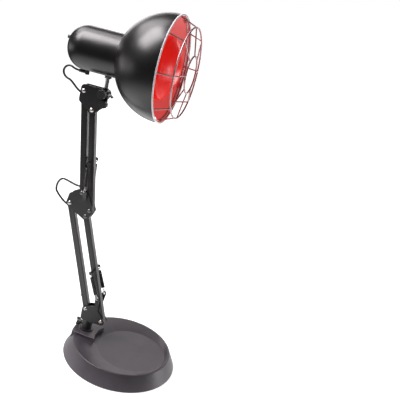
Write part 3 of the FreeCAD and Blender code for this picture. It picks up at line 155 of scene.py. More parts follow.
class LampColours(bpy.types.PropertyGroup):
    paint: colour("Paint", "Black of the arm", (0.009, 0.0085, 0.0092))
    base_coat: colour("Base coat", "Satin black of the base", (0.035, 0.0307, 0.0359))
    enamel: colour("Enamel", "Black of the shade and the cover", (0.0042, 0.0038, 0.0044))
    nickel: colour("Nickel", "Bright rivets", (0.56, 0.52, 0.49))
    glow: colour("Glow", "Colour of the lit bulb", (1.0, 0.012, 0.008))


def sizes():
    return bpy.context.scene.lamp_sizes


def colours():
    return bpy.context.scene.lamp_colours


# ---------------------------------------------------------------- materials


NOISE_ROUGHNESS = 0.55
# The values of noise at which a tone is darkest and lightest, and the same for the depth of cells
CLOUD_SPAN = (0.3, 0.7)
CELL_SPAN = (0.1, 0.6)
# Coatings: the pointiness at which edges start to rub and are bare, and how much paler they get
RUBBED_EDGES = (0.53, 0.60)
RUBBED_PALER = 6.0
# Metals: the scale of the fine streaks, and their stretch along drawn steel
STREAK_SCALE = 900
DRAWN = (1, 1, 0.05)
# Plastics: the scale of the grain of a moulded piece and of the flex's sheath
GRAIN_SCALE = 1400
SHEATH_SCALE = 900
# How strongly the shade's lining glows: painted red light from the bulb, as the lining is no lamp
LINING_PAINTED_GLOW = 0.26
BULB_GLOW = 0.5

# Plain metals: finish, material, colour and roughness
METALS = (
    ("black_steel", "blacked_steel", (0.07, 0.068, 0.07), 0.3),
    ("zinc", "zinc_plate", (0.45, 0.46, 0.47), 0.38),
    ("dark_spring", "oiled_spring", (0.055, 0.053, 0.052), 0.34),
    ("hook", "spring_hook", (0.60, 0.59, 0.57), 0.28),
    # The guard wire's red tint is painted red light from the bulb, on grey plated wire
    ("guard", "plated_wire_painted_red_light", (0.50, 0.33, 0.33), 0.42),
    ("brass", "spun_brass", (0.72, 0.52, 0.25), 0.3),
    ("cap", "bulb_cap_metal", (0.70, 0.69, 0.67), 0.3),
    ("dull_rivet", "dull_steel", (0.16, 0.155, 0.155), 0.4),
)
# Plastics, rubber and the shade's pale rim: finish, material, colour and roughness
PLASTICS = (
    ("rim", "bare_rim", (0.80, 0.74, 0.75), 0.35),
    ("rubber", "soft_rubber", (0.02, 0.02, 0.021), 0.55),
    ("knob", "knob_plastic", (0.016, 0.016, 0.017), 0.42),
    ("nylon", "black_nylon", (0.022, 0.021, 0.022), 0.45),
)
FINISHES = {}


class Shader:
    """A node material with a principled shader and object coordinates."""

    def __init__(self, name, base, roughness, metallic=0.0, **sockets):
        self.material = bpy.data.materials.new(name)
        self.material.use_nodes = True
        self.tree = self.material.node_tree
        self.main = self.tree.nodes["Principled BSDF"]
        self.main.inputs["Base Color"].default_value = (*base, 1)
        self.main.inputs["Roughness"].default_value = roughness
        self.main.inputs["Metallic"].default_value = metallic
        for socket, value in sockets.items():
            self.main.inputs[socket.replace("_", " ")].default_value = value
        self.place = self.tree.nodes.new("ShaderNodeTexCoord").outputs["Object"]

    def node(self, kind, **values):
        made = self.tree.nodes.new(kind)
        for key, value in values.items():
            setattr(made, key, value)
        return made

    def link(self, start, end):
        self.tree.links.new(start, end)

    def noise(self, scale, detail, stretch=(1, 1, 1)):
        """Noise over the object, stretched along its axes."""
        mapping = self.node("ShaderNodeMapping")
        mapping.inputs["Scale"].default_value = stretch
        self.link(self.place, mapping.inputs["Vector"])
        texture = self.node("ShaderNodeTexNoise")
        texture.inputs["Scale"].default_value = scale
        texture.inputs["Detail"].default_value = detail
        texture.inputs["Roughness"].default_value = NOISE_ROUGHNESS
        self.link(mapping.outputs["Vector"], texture.inputs["Vector"])
        return texture.outputs["Fac"]

    def ramp(self, source, stops):
        """A colour ramp; stops are (place, colour)."""
        ramp = self.node("ShaderNodeValToRGB")
        elements = ramp.color_ramp.elements
        while len(elements) < len(stops):
            elements.new(0.5)
        for element, (place, tone) in zip(elements, stops):
            element.position = place
            element.color = (*tone, 1)
        self.link(source, ramp.inputs["Fac"])
        return ramp.outputs["Color"]

    def tones(self, source, dark, light, span=CLOUD_SPAN):
        """A colour from dark to light over a span of the source."""
        return self.ramp(source, list(zip(span, (dark, light))))

    def tint(self, source, dark, light, span=CLOUD_SPAN):
        self.link(self.tones(source, dark, light, span), self.main.inputs["Base Color"])

    def spread(self, source, new, old=(0, 1)):
        """Map a range of the source to a new range, held at its ends."""
        mapped = self.node("ShaderNodeMapRange")
        for socket, value in zip(("From Min", "From Max", "To Min", "To Max"), (*old, *new)):
            mapped.inputs[socket].default_value = value
        self.link(source, mapped.inputs["Value"])
        return mapped.outputs["Result"]

    def roughen(self, source, low, high):
        """Let the roughness follow the source, from low to high."""
        self.link(self.spread(source, (low, high)), self.main.inputs["Roughness"])

    def bump(self, source, distance, strength):
        relief = self.node("ShaderNodeBump")
        relief.inputs["Distance"].default_value = distance
        relief.inputs["Strength"].default_value = strength
        self.link(source, relief.inputs["Height"])
        self.link(relief.outputs["Normal"], self.main.inputs["Normal"])


def times(tone, factor):
    return tuple(min(1.0, part * factor) for part in tone)


def paint_material(name, coat, roughness, grain, worn):
    """Black coating: fine orange peel, faint dust and slightly rubbed edges."""
    shader = Shader(name, coat, roughness)
    dusty = shader.tones(shader.noise(scale=22, detail=4), times(coat, 0.85), times(coat, 1.2))
    edges = shader.node("ShaderNodeNewGeometry").outputs["Pointiness"]
    mix = shader.node("ShaderNodeMix", data_type="RGBA")
    shader.link(shader.spread(edges, (0, worn), RUBBED_EDGES), mix.inputs["Factor"])
    shader.link(dusty, mix.inputs["A"])
    mix.inputs["B"].default_value = (*times(coat, RUBBED_PALER), 1)
    shader.link(mix.outputs["Result"], shader.main.inputs["Base Color"])
    shader.roughen(shader.noise(scale=60, detail=3), roughness - 0.05, roughness + 0.07)
    shader.bump(shader.noise(scale=grain, detail=2), distance=0.00006, strength=0.6)
    return shader.material


def metal_material(name, metal, roughness, stretch=(1, 1, 1)):
    """Plated or drawn metal with fine streaks."""
    shader = Shader(name, metal, roughness, metallic=1.0)
    streak = shader.noise(STREAK_SCALE, detail=2, stretch=stretch)
    shader.tint(shader.noise(scale=70, detail=3), times(metal, 0.8), times(metal, 1.08))
    shader.roughen(streak, roughness * 0.8, roughness * 1.25)
    shader.bump(streak, distance=0.00001, strength=0.5)
    return shader.material


def plastic_material(name, plastic, roughness, grain=GRAIN_SCALE):
    """Moulded plastic or rubber with a fine grain."""
    shader = Shader(name, plastic, roughness)
    fine = shader.noise(grain, detail=2)
    shader.tint(shader.noise(scale=60, detail=3), times(plastic, 0.85), times(plastic, 1.15))
    shader.roughen(fine, roughness - 0.06, roughness + 0.06)
    shader.bump(fine, distance=0.00003, strength=0.5)
    return shader.material


def lining_material():
    """Pale enamel inside the shade, with a painted pink tint and a painted red glow for the bulb's
    light on it.
    """
    # The pink base colour and the red emission are painted bulb light on pale enamel
    shader = Shader("shade_lining", (0.68, 0.36, 0.36), 0.5, Emission_Strength=LINING_PAINTED_GLOW)
    shader.main.inputs["Emission Color"].default_value = (1.0, 0.14, 0.13, 1)
    shader.tint(shader.noise(scale=40, detail=3), (0.65, 0.34, 0.34), (0.71, 0.38, 0.38))
    shader.roughen(shader.noise(scale=90, detail=2), 0.36, 0.48)
    shader.bump(shader.noise(scale=1100, detail=2), distance=0.00003, strength=0.4)
    return shader.material


def bulb_material():
    """Ruby glass, frosted inside and lit."""
    glow = tuple(colours().glow)
    shader = Shader(
        "ruby_glass", (0.42, 0.006, 0.004), 0.3,
        Specular_IOR_Level=0.3, Emission_Strength=BULB_GLOW,
    )
    lit = shader.tones(shader.noise(scale=26, detail=3), times(glow, 0.82), glow)
    shader.link(lit, shader.main.inputs["Emission Color"])
    shader.roughen(shader.noise(scale=120, detail=2), 0.24, 0.36)
    shader.bump(shader.noise(scale=600, detail=2), distance=0.00002, strength=0.3)
    return shader.material


def porcelain_material():
    """Glazed white porcelain."""
    shader = Shader("white_porcelain", (0.82, 0.80, 0.76), 0.18)
    shader.tint(shader.noise(scale=50, detail=3), (0.78, 0.75, 0.70), (0.85, 0.83, 0.79))
    shader.roughen(shader.noise(scale=200, detail=2), 0.12, 0.26)
    shader.bump(shader.noise(scale=300, detail=2), distance=0.00003, strength=0.4)
    return shader.material


def iron_material():
    """Rough cast iron."""
    shader = Shader("cast_iron", (0.09, 0.088, 0.085), 0.7, metallic=0.7)
    shader.tint(shader.noise(scale=45, detail=5), (0.05, 0.05, 0.05), (0.13, 0.125, 0.12))
    shader.roughen(shader.noise(scale=160, detail=4), 0.55, 0.85)
    shader.bump(shader.noise(scale=380, detail=5), distance=0.0002, strength=0.7)
    return shader.material


def foam_material():
    """Dark foam with open cells."""
    shader = Shader("foam_pad", (0.03, 0.03, 0.031), 0.85)
    cells = shader.node("ShaderNodeTexVoronoi")
    cells.inputs["Scale"].default_value = 900
    shader.link(shader.place, cells.inputs["Vector"])
    depth = cells.outputs["Distance"]
    shader.tint(depth, (0.016, 0.016, 0.017), (0.05, 0.05, 0.052), span=CELL_SPAN)
    shader.roughen(depth, 0.75, 0.95)
    shader.bump(depth, distance=0.0002, strength=0.6)
    return shader.material


def make_finishes():
    c = colours()
    FINISHES.update(
        paint=paint_material("black_powder_coat", tuple(c.paint), 0.38, grain=1500, worn=0.5),
        base_coat=paint_material(
            "satin_base_coat", tuple(c.base_coat), 0.42, grain=1500, worn=0.3
        ),
        enamel=paint_material("black_enamel", tuple(c.enamel), 0.30, grain=700, worn=0.25),
        nickel=metal_material("bright_nickel", tuple(c.nickel), 0.3),
        rod=metal_material("drawn_steel", (0.56, 0.55, 0.54), 0.3, DRAWN),
        flex=plastic_material("flex_sheath", (0.018, 0.018, 0.019), 0.36, SHEATH_SCALE),
        lining=lining_material(),
        ruby=bulb_material(),
        porcelain=porcelain_material(),
        iron=iron_material(),
        foam=foam_material(),
    )
    for finish, name, metal, roughness in METALS:
        FINISHES[finish] = metal_material(name, metal, roughness)
    for finish, name, plastic, roughness in PLASTICS:
        FINISHES[finish] = plastic_material(name, plastic, roughness)


# ---------------------------------------------------------------- mesh helpers


# How near points are to be one: on a turned profile, and on a CAD mesh
SPUN_MERGE = 1e-6
CAD_MERGE = 2e-6
# Faces of a CAD mesh that meet at less than this are one; edges sharper than the next are eased
FLAT_ANGLE = math.radians(0.6)
HARD_ANGLE = math.radians(30)
ROUND_PROFILE = 0.5
# Shading breaks at edges sharper than these, in degrees
REFINED_SMOOTH = 40
FLEX_SMOOTH = 60
SPRING_SMOOTH = 50
SHEET_SMOOTH = 28
BASE_SMOOTH = 24


def finish_piece(bm, name, finishes, smooth, body=None, place=None):
    """Turn a bmesh into a finished piece, which rides on a body if one is named."""
    if place is not None:
        bm.transform(place)
    mesh = bpy.data.meshes.new(name)
    bm.to_mesh(mesh)
    bm.free()
    for key in finishes:
        mesh.materials.append(FINISHES[key])
    mesh.polygons.foreach_set("use_smooth", [True] * len(mesh.polygons))
    mesh.set_sharp_from_angle(angle=math.radians(smooth))
    piece = bpy.data.objects.new(name, mesh)
    bpy.context.scene.collection.objects.link(piece)
    if body is not None:
        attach(piece, body)
    return piece


def start_at(bm, x, z):
    """The first vertex of a profile."""
    return bmesh.ops.create_vert(bm, co=(x, 0, z))["vert"][0]


def run_on(bm, vertex, *points):
    """Draw straight runs on from a vertex; points are (x, z)."""
    last = vertex
    for x, z in points:
        last = bmesh.ops.extrude_vert_indiv(bm, verts=[last])["verts"][0]
        last.co = (x, 0, z)
    return last


def swing_on(bm, vertex, centre, angle, steps):
    """Draw an arc on from a vertex, about a centre (x, z)."""
    result = bmesh.ops.spin(
        bm, geom=[vertex], cent=(centre[0], 0, centre[1]), axis=Y_AXIS, angle=angle,
        steps=steps, use_merge=False, use_duplicate=False,
    )
    return next(part for part in result["geom_last"] if isinstance(part, bmesh.types.BMVert))


def spin_profile(bm, axis, steps):
    """Turn the drawn profile through a full circle and close it."""
    bmesh.ops.spin(
        bm, geom=bm.verts[:] + bm.edges[:], cent=(0, 0, 0), axis=axis, angle=FULL_TURN,
        steps=steps, use_merge=True, use_duplicate=False,
    )
    bmesh.ops.remove_doubles(bm, verts=bm.verts, dist=SPUN_MERGE)
    bmesh.ops.recalc_face_normals(bm, faces=bm.faces)


def refined(node, finish, edge, slot, steps=2):
    """A copy of a CAD node with merged corners and eased edges, shown in its place."""
    bm = bmesh.new()
    bm.from_mesh(NODES[node].data)
    bmesh.ops.remove_doubles(bm, verts=bm.verts, dist=CAD_MERGE)
    bmesh.ops.dissolve_limit(
        bm, angle_limit=FLAT_ANGLE, verts=bm.verts, edges=bm.edges, use_dissolve_boundaries=False
    )
    if edge > 0:
        hard = [
            e for e in bm.edges if len(e.link_faces) == 2 and e.calc_face_angle(0) > HARD_ANGLE
        ]
        bmesh.ops.bevel(
            bm, geom=hard, offset=edge, offset_type="OFFSET", segments=steps,
            profile=ROUND_PROFILE, affect="EDGES", clamp_overlap=True, material=-1,
        )
    piece = finish_piece(bm, node + "_finished", [finish], REFINED_SMOOTH)
    weighted = piece.modifiers.new("Weighted normals", "WEIGHTED_NORMAL")
    weighted.keep_sharp = True
    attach(piece, NODES[node]["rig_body"])
    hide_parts(node)
    return piece


def refine_all(parts):
    """Refine a table of (node, finish, width of the eased edges, slot)."""
    for part in parts:
        refined(*part)


def box_middle(node):
    low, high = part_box(node)
    return (low + high) / 2


# ---------------------------------------------------------------- camera


CAMERA_PLACE = Vector((0.19765, -0.85803, 0.6048))
# Turned left of the y axis, tipped down and rolled, in degrees
CAMERA_TURN = 9.17
CAMERA_DROP = 18.48
CAMERA_ROLL = 16.22
# The lens and the width of the sensor, in millimetres
LENS = 54.0
SENSOR = 36.0


def make_camera():
    turn = math.radians(CAMERA_TURN)
    drop = math.radians(CAMERA_DROP)
    roll = math.radians(CAMERA_ROLL)
    level = math.cos(drop)
    ahead = Vector((-math.sin(turn) * level, math.cos(turn) * level, -math.sin(drop)))
    right = Vector((math.cos(turn), math.sin(turn), 0))
    upward = right.cross(ahead)
    side = right * math.cos(roll) + upward * math.sin(roll)
    top = upward * math.cos(roll) - right * math.sin(roll)
    data = bpy.data.cameras.new("camera")
    data.lens = LENS
    data.sensor_width = SENSOR
    camera = bpy.data.objects.new("camera", data)
    bpy.context.scene.collection.objects.link(camera)
    turned = Matrix((side, top, -ahead)).transposed()
    camera.matrix_world = Matrix.Translation(CAMERA_PLACE) @ turned.to_4x4()
    bpy.context.scene.camera = camera


# ---------------------------------------------------------------- flex


# Routes of the two loops of flex: x and z in the arm's plane
ELBOW_ROUTE = (
    (-0.1313, 0.2704),
    (-0.1385, 0.2690),
    (-0.1616, 0.2735),
    (-0.1661, 0.2722),
    (-0.1698, 0.2682),
    (-0.1722, 0.2622),
    (-0.1728, 0.2553),
    (-0.1714, 0.2485),
    (-0.1520, 0.2331),
    (-0.1442, 0.2333),
)
HEAD_ROUTE = (
    (-0.1741, 0.4474),
    (-0.1801, 0.4471),
    (-0.1903, 0.4510),
    (-0.1967, 0.4474),
    (-0.1996, 0.4414),
    (-0.1979, 0.4350),
    (-0.1923, 0.4305),
    (-0.1848, 0.4296),
    (-0.1683, 0.4164),
    (-0.1606, 0.4152),
)
# The shares of a loop's length at which it is cut from one piece into the next
ELBOW_SHARE = 0.52
GLAND_SHARE = 0.46
BRACKET_SHARE = 0.90
# Order of the curve, its steps between control points, and how finely its tube is rounded
FLEX_ORDER = 3
FLEX_STEPS = 12
FLEX_ROUNDING = 4


def flex_line(name, route, diameter):
    """The centre line and the tube of a smooth curve whose control points are a route."""
    curve = bpy.data.curves.new(name, "CURVE")
    curve.dimensions = "3D"
    spline = curve.splines.new("NURBS")
    spline.points.add(len(route) - 1)
    for point, (x, z) in zip(spline.points, route):
        point.co = (x, 0, z, 1)
    spline.order_u = FLEX_ORDER
    spline.use_endpoint_u = True
    curve.resolution_u = FLEX_STEPS
    line = bpy.data.objects.new(name, curve)
    bpy.context.scene.collection.objects.link(line)
    bpy.context.view_layer.update()
    path = bpy.data.meshes.new_from_object(line)
    points = [vertex.co.copy() for vertex in path.vertices]
    bpy.data.meshes.remove(path)
    curve.bevel_depth = diameter / 2
    curve.bevel_resolution = FLEX_ROUNDING
    curve.use_fill_caps = True
    bpy.context.view_layer.update()
    tube = bpy.data.meshes.new_from_object(line)
    bpy.data.objects.remove(line)
    bpy.data.curves.remove(curve)
    return points, tube


def cut_tube(line, name, start, end):
    """The stretch of a tube between two of its line's points."""
    points, tube = line
    first, last = sorted((start, end))
    tree = kdtree.KDTree(len(points))
    for index, point in enumerate(points):
        tree.insert(point, index)
    tree.balance()
    bm = bmesh.new()
    bm.from_mesh(tube)
    beyond = [vertex for vertex in bm.verts if not first <= tree.find(vertex.co)[1] <= last]
    bmesh.ops.delete(bm, geom=beyond, context="VERTS")
    bmesh.ops.holes_fill(bm, edges=[edge for edge in bm.edges if edge.is_boundary])
    piece = finish_piece(bm, name, ["flex"], FLEX_SMOOTH)
    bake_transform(piece)
    return piece


def path_length(points):
    return sum((b - a).length for a, b in zip(points, points[1:]))


def index_at(points, share):
    """The index of the first point at or past a share of the way along."""
    wanted = share * path_length(points)
    index = 1
    run = (points[1] - points[0]).length
    while run < wanted:
        run += (points[index + 1] - points[index]).length
        index += 1
    return index


class LAMP_OT_flex(bpy.types.Operator):
    """Build both loops of flex"""

    bl_idname = "lamp.flex"
    bl_label = "Flex"

    def execute(self, context):
        diameter = sizes().flex_diameter
        self.elbow_loop(diameter)
        self.head_loop(diameter)
        return {"FINISHED"}

    def declare(self, piece, exit_point, path, diameter, others=()):
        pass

    def elbow_loop(self, diameter):
        """Out of one tube and into the other, round the elbow."""
        line = flex_line("elbow_line", ELBOW_ROUTE, diameter)
        points = line[0]
        half = index_at(points, ELBOW_SHARE)
        end = len(points) - 1
        upper = cut_tube(line, "elbow_flex_upper", half, 0)
        lower = cut_tube(line, "elbow_flex_lower", half, end)
        for piece in (upper, lower):
            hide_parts("elbow_cord")
        self.declare(upper, points[0], points[: half + 1], diameter)
        self.declare(lower, points[-1], points[half:], diameter)

    def head_loop(self, diameter):
        """Out of the gland and into the upper tube."""
        line = flex_line("head_line", HEAD_ROUTE, diameter)
        points = line[0]
        near = index_at(points, GLAND_SHARE)
        far = index_at(points, BRACKET_SHARE)
        end = len(points) - 1
        bottom = cut_tube(line, "head_flex_lower", far, end)
        middle = cut_tube(line, "head_flex_middle", far, near)
        top = cut_tube(line, "head_flex_upper", near, 0)
        for piece in (bottom, middle, top):
            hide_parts("head_cord")
        self.declare(middle, points[0], points[near : far + 1], diameter, (top, bottom))


# ---------------------------------------------------------------- springs


# Where the springs hook into the ears of the turret and the elbow
SPRING_HOOKS = {"lower": Vector((-0.0565, 0, 0.09535)), "upper": Vector((-0.1185, 0, 0.26782))}
# Between a coil's turns, from wire to wire, in the wire's radius
COIL_PITCH = 2.08
COIL_STEPS = 18
WIRE_SIDES = 8
# Hooks are bent from stouter wire, into rings that stay open
HOOK_STOUTER = 1.2
HOOK_TURN = math.radians(320)
HOOK_STEPS = 28
# How far the upper ring stands off its pin, in the wire's radius
PIN_GAP = 1.5


def wire_ring(bm, height, radius, wire, axis):
    """An open ring of wire at a height on the z axis, about a level axis."""
    ring = bmesh.ops.create_circle(bm, cap_ends=False, radius=wire, segments=WIRE_SIDES)["verts"]
    centre = Vector((0, 0, height))
    turn = Matrix((Z_AXIS, axis, Z_AXIS.cross(axis))).transposed().to_4x4()
    bmesh.ops.transform(
        bm, verts=ring, matrix=Matrix.Translation(centre + Z_AXIS * radius) @ turn
    )
    edges = list({edge for vertex in ring for edge in vertex.link_edges})
    bmesh.ops.spin(
        bm, geom=ring + edges, cent=centre, axis=axis, angle=HOOK_TURN, steps=HOOK_STEPS,
        use_merge=False, use_duplicate=False,
    )


def coil(bm, low, high, radius, wire):
    """A closed-wound coil of wire along z between two heights."""
    turns = (high - low) / (wire * COIL_PITCH)
    ring = bmesh.ops.create_circle(bm, cap_ends=True, radius=wire, segments=WIRE_SIDES)["verts"]
    stand = Matrix.Rotation(RIGHT_ANGLE, 4, "X")
    bmesh.ops.transform(bm, verts=ring, matrix=Matrix.Translation((radius - wire, 0, low)) @ stand)
    faces = list({face for vertex in ring for face in vertex.link_faces})
    steps = COIL_STEPS * turns
    bmesh.ops.spin(
        bm, geom=faces, cent=(0, 0, 0), axis=Z_AXIS, dvec=(0, 0, (high - low) / steps),
        angle=FULL_TURN * turns, steps=int(steps), use_merge=False, use_duplicate=False,
    )


def neck(bm, low, high, radius):
    """The straight wire between a coil and its hook ring."""
    made = bmesh.ops.create_cone(
        bm, cap_ends=True, segments=WIRE_SIDES, radius1=radius, radius2=radius, depth=high - low
    )
    bmesh.ops.translate(bm, verts=made["verts"], vec=(0, 0, (low + high) / 2))


def make_spring(node, hook, pin):
    """A closed coil with a necked hook ring at each end, in the ear's hole and round the pin."""
    s = sizes()
    reach = (pin - hook).length
    middle_y = box_middle(node).y
    hook = Vector((hook.x, middle_y, hook.z))
    pin = Vector((pin.x, middle_y, pin.z))
    along = (pin - hook).normalized()
    place = frame_at(hook, Y_AXIS.cross(along).normalized(), along)
    ring = s.hook_radius
    wire = s.spring_wire
    stout = wire * HOOK_STOUTER
    top_ring = reach + s.pin_radius - ring + wire * PIN_GAP
    coil_low = ring * 2 + s.hook_neck
    coil_high = top_ring - ring - s.hook_neck
    bm = bmesh.new()
    coil(bm, coil_low, coil_high, s.spring_radius, wire)
    wire_ring(bm, top_ring, ring, stout, Y_AXIS)
    neck(bm, coil_high - wire, top_ring - ring, stout)
    piece = finish_piece(
        bm, node + "_coil", ["dark_spring"], SPRING_SMOOTH, place=place
    )
    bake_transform(piece)
    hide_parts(node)
    bm = bmesh.new()
    wire_ring(bm, ring, ring, stout, X_AXIS)
    neck(bm, ring * 2 - wire, coil_low + wire, stout)
    hook_piece = finish_piece(bm, node + "_hook", ["hook"], SPRING_SMOOTH, place=place)
    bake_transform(hook_piece)


class LAMP_OT_springs(bpy.types.Operator):
    """Build the four tension springs"""

    bl_idname = "lamp.springs"
    bl_label = "Springs"

    def execute(self, context):
        for level, parent in (("lower", "turret"), ("upper", "elbow")):
            pin = box_middle(f"{level}_spring_pin")
            for side in ("near", "far"):
                node = f"{level}_{side}_spring"
                make_spring(node, SPRING_HOOKS[level], pin)
        return {"FINISHED"}


# ---------------------------------------------------------------- base


BASE_PARTS = (
    ("post_platform", "base_coat", 0.0005, "black_metal"),
    ("post_socket", "paint", 0.0004, "black_metal"),
    ("post_wing_screw", "paint", 0.0004, "black_metal"),
    ("swivel_washer", "nylon", 0.0002, "nylon"),
    ("post_nut", "zinc", 0.0004, "steel_plate"),
    ("base_foam", "foam", 0.0004, "foam"),
    ("base_floor", "zinc", 0.0003, "steel_plate"),
    ("base_weight", "iron", 0.0008, "weight"),
    ("base_screws", "zinc", 0.0002, "steel_plate"),
)
# Radii of the crest's outer edge and of the bend round the disc, and the wall's lower chamfer
CREST_ROUND = 0.0017
DISC_BEND = 0.0012
WALL_CHAMFER = 0.0004
CREST_STEPS = 6
DISC_STEPS = 3
BASE_STEPS = 160
# How near a point has to be to the disc's edge and to its height to belong to it
DISC_MARGIN = 0.0001
LEVEL_MARGIN = 1e-6


class LAMP_OT_base(bpy.types.Operator):
    """Build the base, its platform and its post"""

    bl_idname = "lamp.base"
    bl_label = "Base"

    def execute(self, context):
        self.shell()
        refine_all(BASE_PARTS)
        return {"FINISHED"}

    def shell(self):
        """The pressed shell: an off-centre disc, its slope, a rounded crest and a flared wall."""
        s = sizes()
        shoulder = s.rim_radius - s.crest_width
        fall = math.atan2(s.base_height - s.base_lift, s.base_radius - s.rim_radius)
        bm = bmesh.new()
        brow = run_on(
            bm, start_at(bm, 0, s.disc_height),
            (s.disc_radius, s.disc_height),
            (shoulder, s.base_height),
            (s.rim_radius - CREST_ROUND * math.tan(fall / 2), s.base_height),
        )
        last = swing_on(bm, brow, (brow.co.x, s.base_height - CREST_ROUND), fall, CREST_STEPS)
        run_on(
            bm, last,
            (s.base_radius, s.base_lift + WALL_CHAMFER),
            (s.base_radius - WALL_CHAMFER, s.base_lift),
            (s.base_radius - s.base_wall, s.base_lift),
            (s.rim_radius - s.base_wall, s.base_height - s.base_wall),
            (shoulder, s.base_height - s.base_wall),
            (s.disc_radius, s.disc_height - s.base_wall),
            (0, s.disc_height - s.base_wall),
        )
        spin_profile(bm, Z_AXIS, BASE_STEPS)
        for vertex in bm.verts:
            if math.hypot(vertex.co.x, vertex.co.y) < s.disc_radius + DISC_MARGIN:
                vertex.co.x += s.disc_ahead
        bmesh.ops.bevel(
            bm, geom=[edge for edge in bm.edges if self.round_disc(edge)], offset=DISC_BEND,
            offset_type="OFFSET", segments=DISC_STEPS, profile=ROUND_PROFILE,
            affect="EDGES", material=-1,
        )
        piece = finish_piece(
            bm, "base_shell_pressed", ["base_coat"], BASE_SMOOTH, "base"
        )
        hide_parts("base_shell")

    def round_disc(self, edge):
        """Whether an edge is part of the disc's upper rim."""
        s = sizes()
        return all(
            abs(end.co.z - s.disc_height) < LEVEL_MARGIN
            and math.hypot(end.co.x - s.disc_ahead, end.co.y) > s.disc_radius - DISC_MARGIN
            for end in edge.verts
        )


# ---------------------------------------------------------------- arm


PLATES = (
    "turret_bracket", "elbow_near_plate", "elbow_far_plate", "head_near_plate", "head_far_plate",
)
TUBES = ("lower_rear_tube", "lower_front_tube", "upper_rear_tube", "upper_front_tube")
ARM_PARTS = (
    ("lower_spring_pin", "paint", 0.0003, "black_metal"),
    ("upper_spring_pin", "paint", 0.0003, "black_metal"),
    ("lower_tube_grommets", "rubber", 0.0002, "rubber"),
    ("upper_tube_grommets", "rubber", 0.0002, "rubber"),
    ("swivel_shaft", "zinc", 0.0003, "steel_plate"),
    ("tilt_discs", "black_steel", 0.0001, "nickel"),
    ("tilt_bolt", "black_steel", 0.0003, "steel_plate"),
    ("tilt_knob", "knob", 0.0003, "knob_plastic"),
    ("tilt_wing_nut", "paint", 0.0003, "black_metal"),
    ("tension_knob", "knob", 0.0003, "knob_plastic"),
    ("tension_bolt", "zinc", 0.0002, "steel_plate"),
    ("tension_nut", "nickel", 0.0003, "nickel"),
    ("head_knuckle", "black_steel", 0.0004, "black_metal"),
)
# Widths of the eased edges of plates and tubes, and the steps round a tube's
PLATE_EDGE = 0.0003
TUBE_EDGE = 0.0008
TUBE_STEPS = 3
# Rivets keep their edges as they are
RIVET_EDGE = 0.0
# A rivet's faces all lie this near to its middle
RIVET_REACH = 0.006


class LAMP_OT_arm(bpy.types.Operator):
    """Build the turret, the tubes, the elbow and the head bracket"""

    bl_idname = "lamp.arm"
    bl_label = "Arm"

    def execute(self, context):
        for node in PLATES:
            refined(node, "paint", PLATE_EDGE, "black_metal")
        for node in TUBES:
            refined(node, "paint", TUBE_EDGE, "black_metal", TUBE_STEPS)
        refined("turret_rivets", "nickel", RIVET_EDGE, "nickel")
        lower_front = pivot("elbow_level") + pivot("lower_front_swing") - pivot("lower_arm")
        self.dull(
            refined("elbow_rivets", "nickel", RIVET_EDGE, "nickel"),
            (lower_front, pivot("upper_arm"), pivot("upper_front_swing")),
        )
        refined("head_rivets", "nickel", RIVET_EDGE, "nickel")
        refine_all(ARM_PARTS)
        return {"FINISHED"}

    def dull(self, piece, places):
        """Give the rivets at some places a darker steel finish."""
        piece.data.materials.append(FINISHES["dull_rivet"])
        for face in piece.data.polygons:
            x, _, z = face.center
            if min(math.hypot(x - place.x, z - place.z) for place in places) < RIVET_REACH:
                face.material_index = 1


# ---------------------------------------------------------------- head


HEAD_PARTS = (
    ("head_rod", "rod", 0.0003, "steel_plate"),
    ("rod_nuts", "nickel", 0.0004, "nickel"),
    ("wire_guard", "guard", 0.0, "guard_wire"),
    ("guard_clips", "nickel", 0.0002, "nickel"),
    ("lamp_socket", "porcelain", 0.0006, "porcelain"),
    ("socket_ring", "porcelain", 0.0006, "porcelain"),
    ("socket_thread", "brass", 0.0, "brass"),
    ("socket_contact", "brass", 0.0002, "brass"),
    ("cover_screws", "zinc", 0.0003, "steel_plate"),
    ("switch_body", "knob", 0.0003, "switch_plastic"),
    ("switch_nut", "nickel", 0.0002, "nickel"),
    ("switch_knob", "knob", 0.0003, "switch_plastic"),
    ("cord_gland", "rubber", 0.0004, "rubber"),
)
BULB_PARTS = (
    ("bulb_glass", "ruby", 0.0, "red_glass"),
    ("bulb_cap", "cap", 0.0003, "cap_metal"),
)
# The shade's back corner: where its flat ends, and a point of the bowl past it (ahead, outward)
FLAT_INSET = 0.0014
CORNER_AHEAD = 0.0009
CORNER_OUT = 0.0006
# Where the rolled rim leaves the bowl (behind, outward), in its own radius, and how far it turns
BEAD_BEHIND = 0.85
BEAD_OUT = 0.53
BEAD_TURN = math.radians(300)
# How far past the rolled rim the lining's arc starts
LINING_START = 0.03
BOWL_STEPS = 40
BEAD_STEPS = 14
SHADE_STEPS = 144
# The shade's finishes. The lining's faces lie this far inside the outer side and the back, in the
# sheet's thickness, and this far behind the mouth; the rim's lie at most so far behind it
OUTSIDE, LINING, RIM = range(3)
INSIDE_DEPTH = 0.6
BEHIND_DEPTH = 0.5
LINING_MARGIN = 0.002
RIM_MARGIN = 0.0002
# The cover stops short of the shade, and its front edge is chamfered
COVER_GAP = 0.0002
COVER_CHAMFER = 0.0006
DOME_STEPS = 24
COVER_STEPS = 112


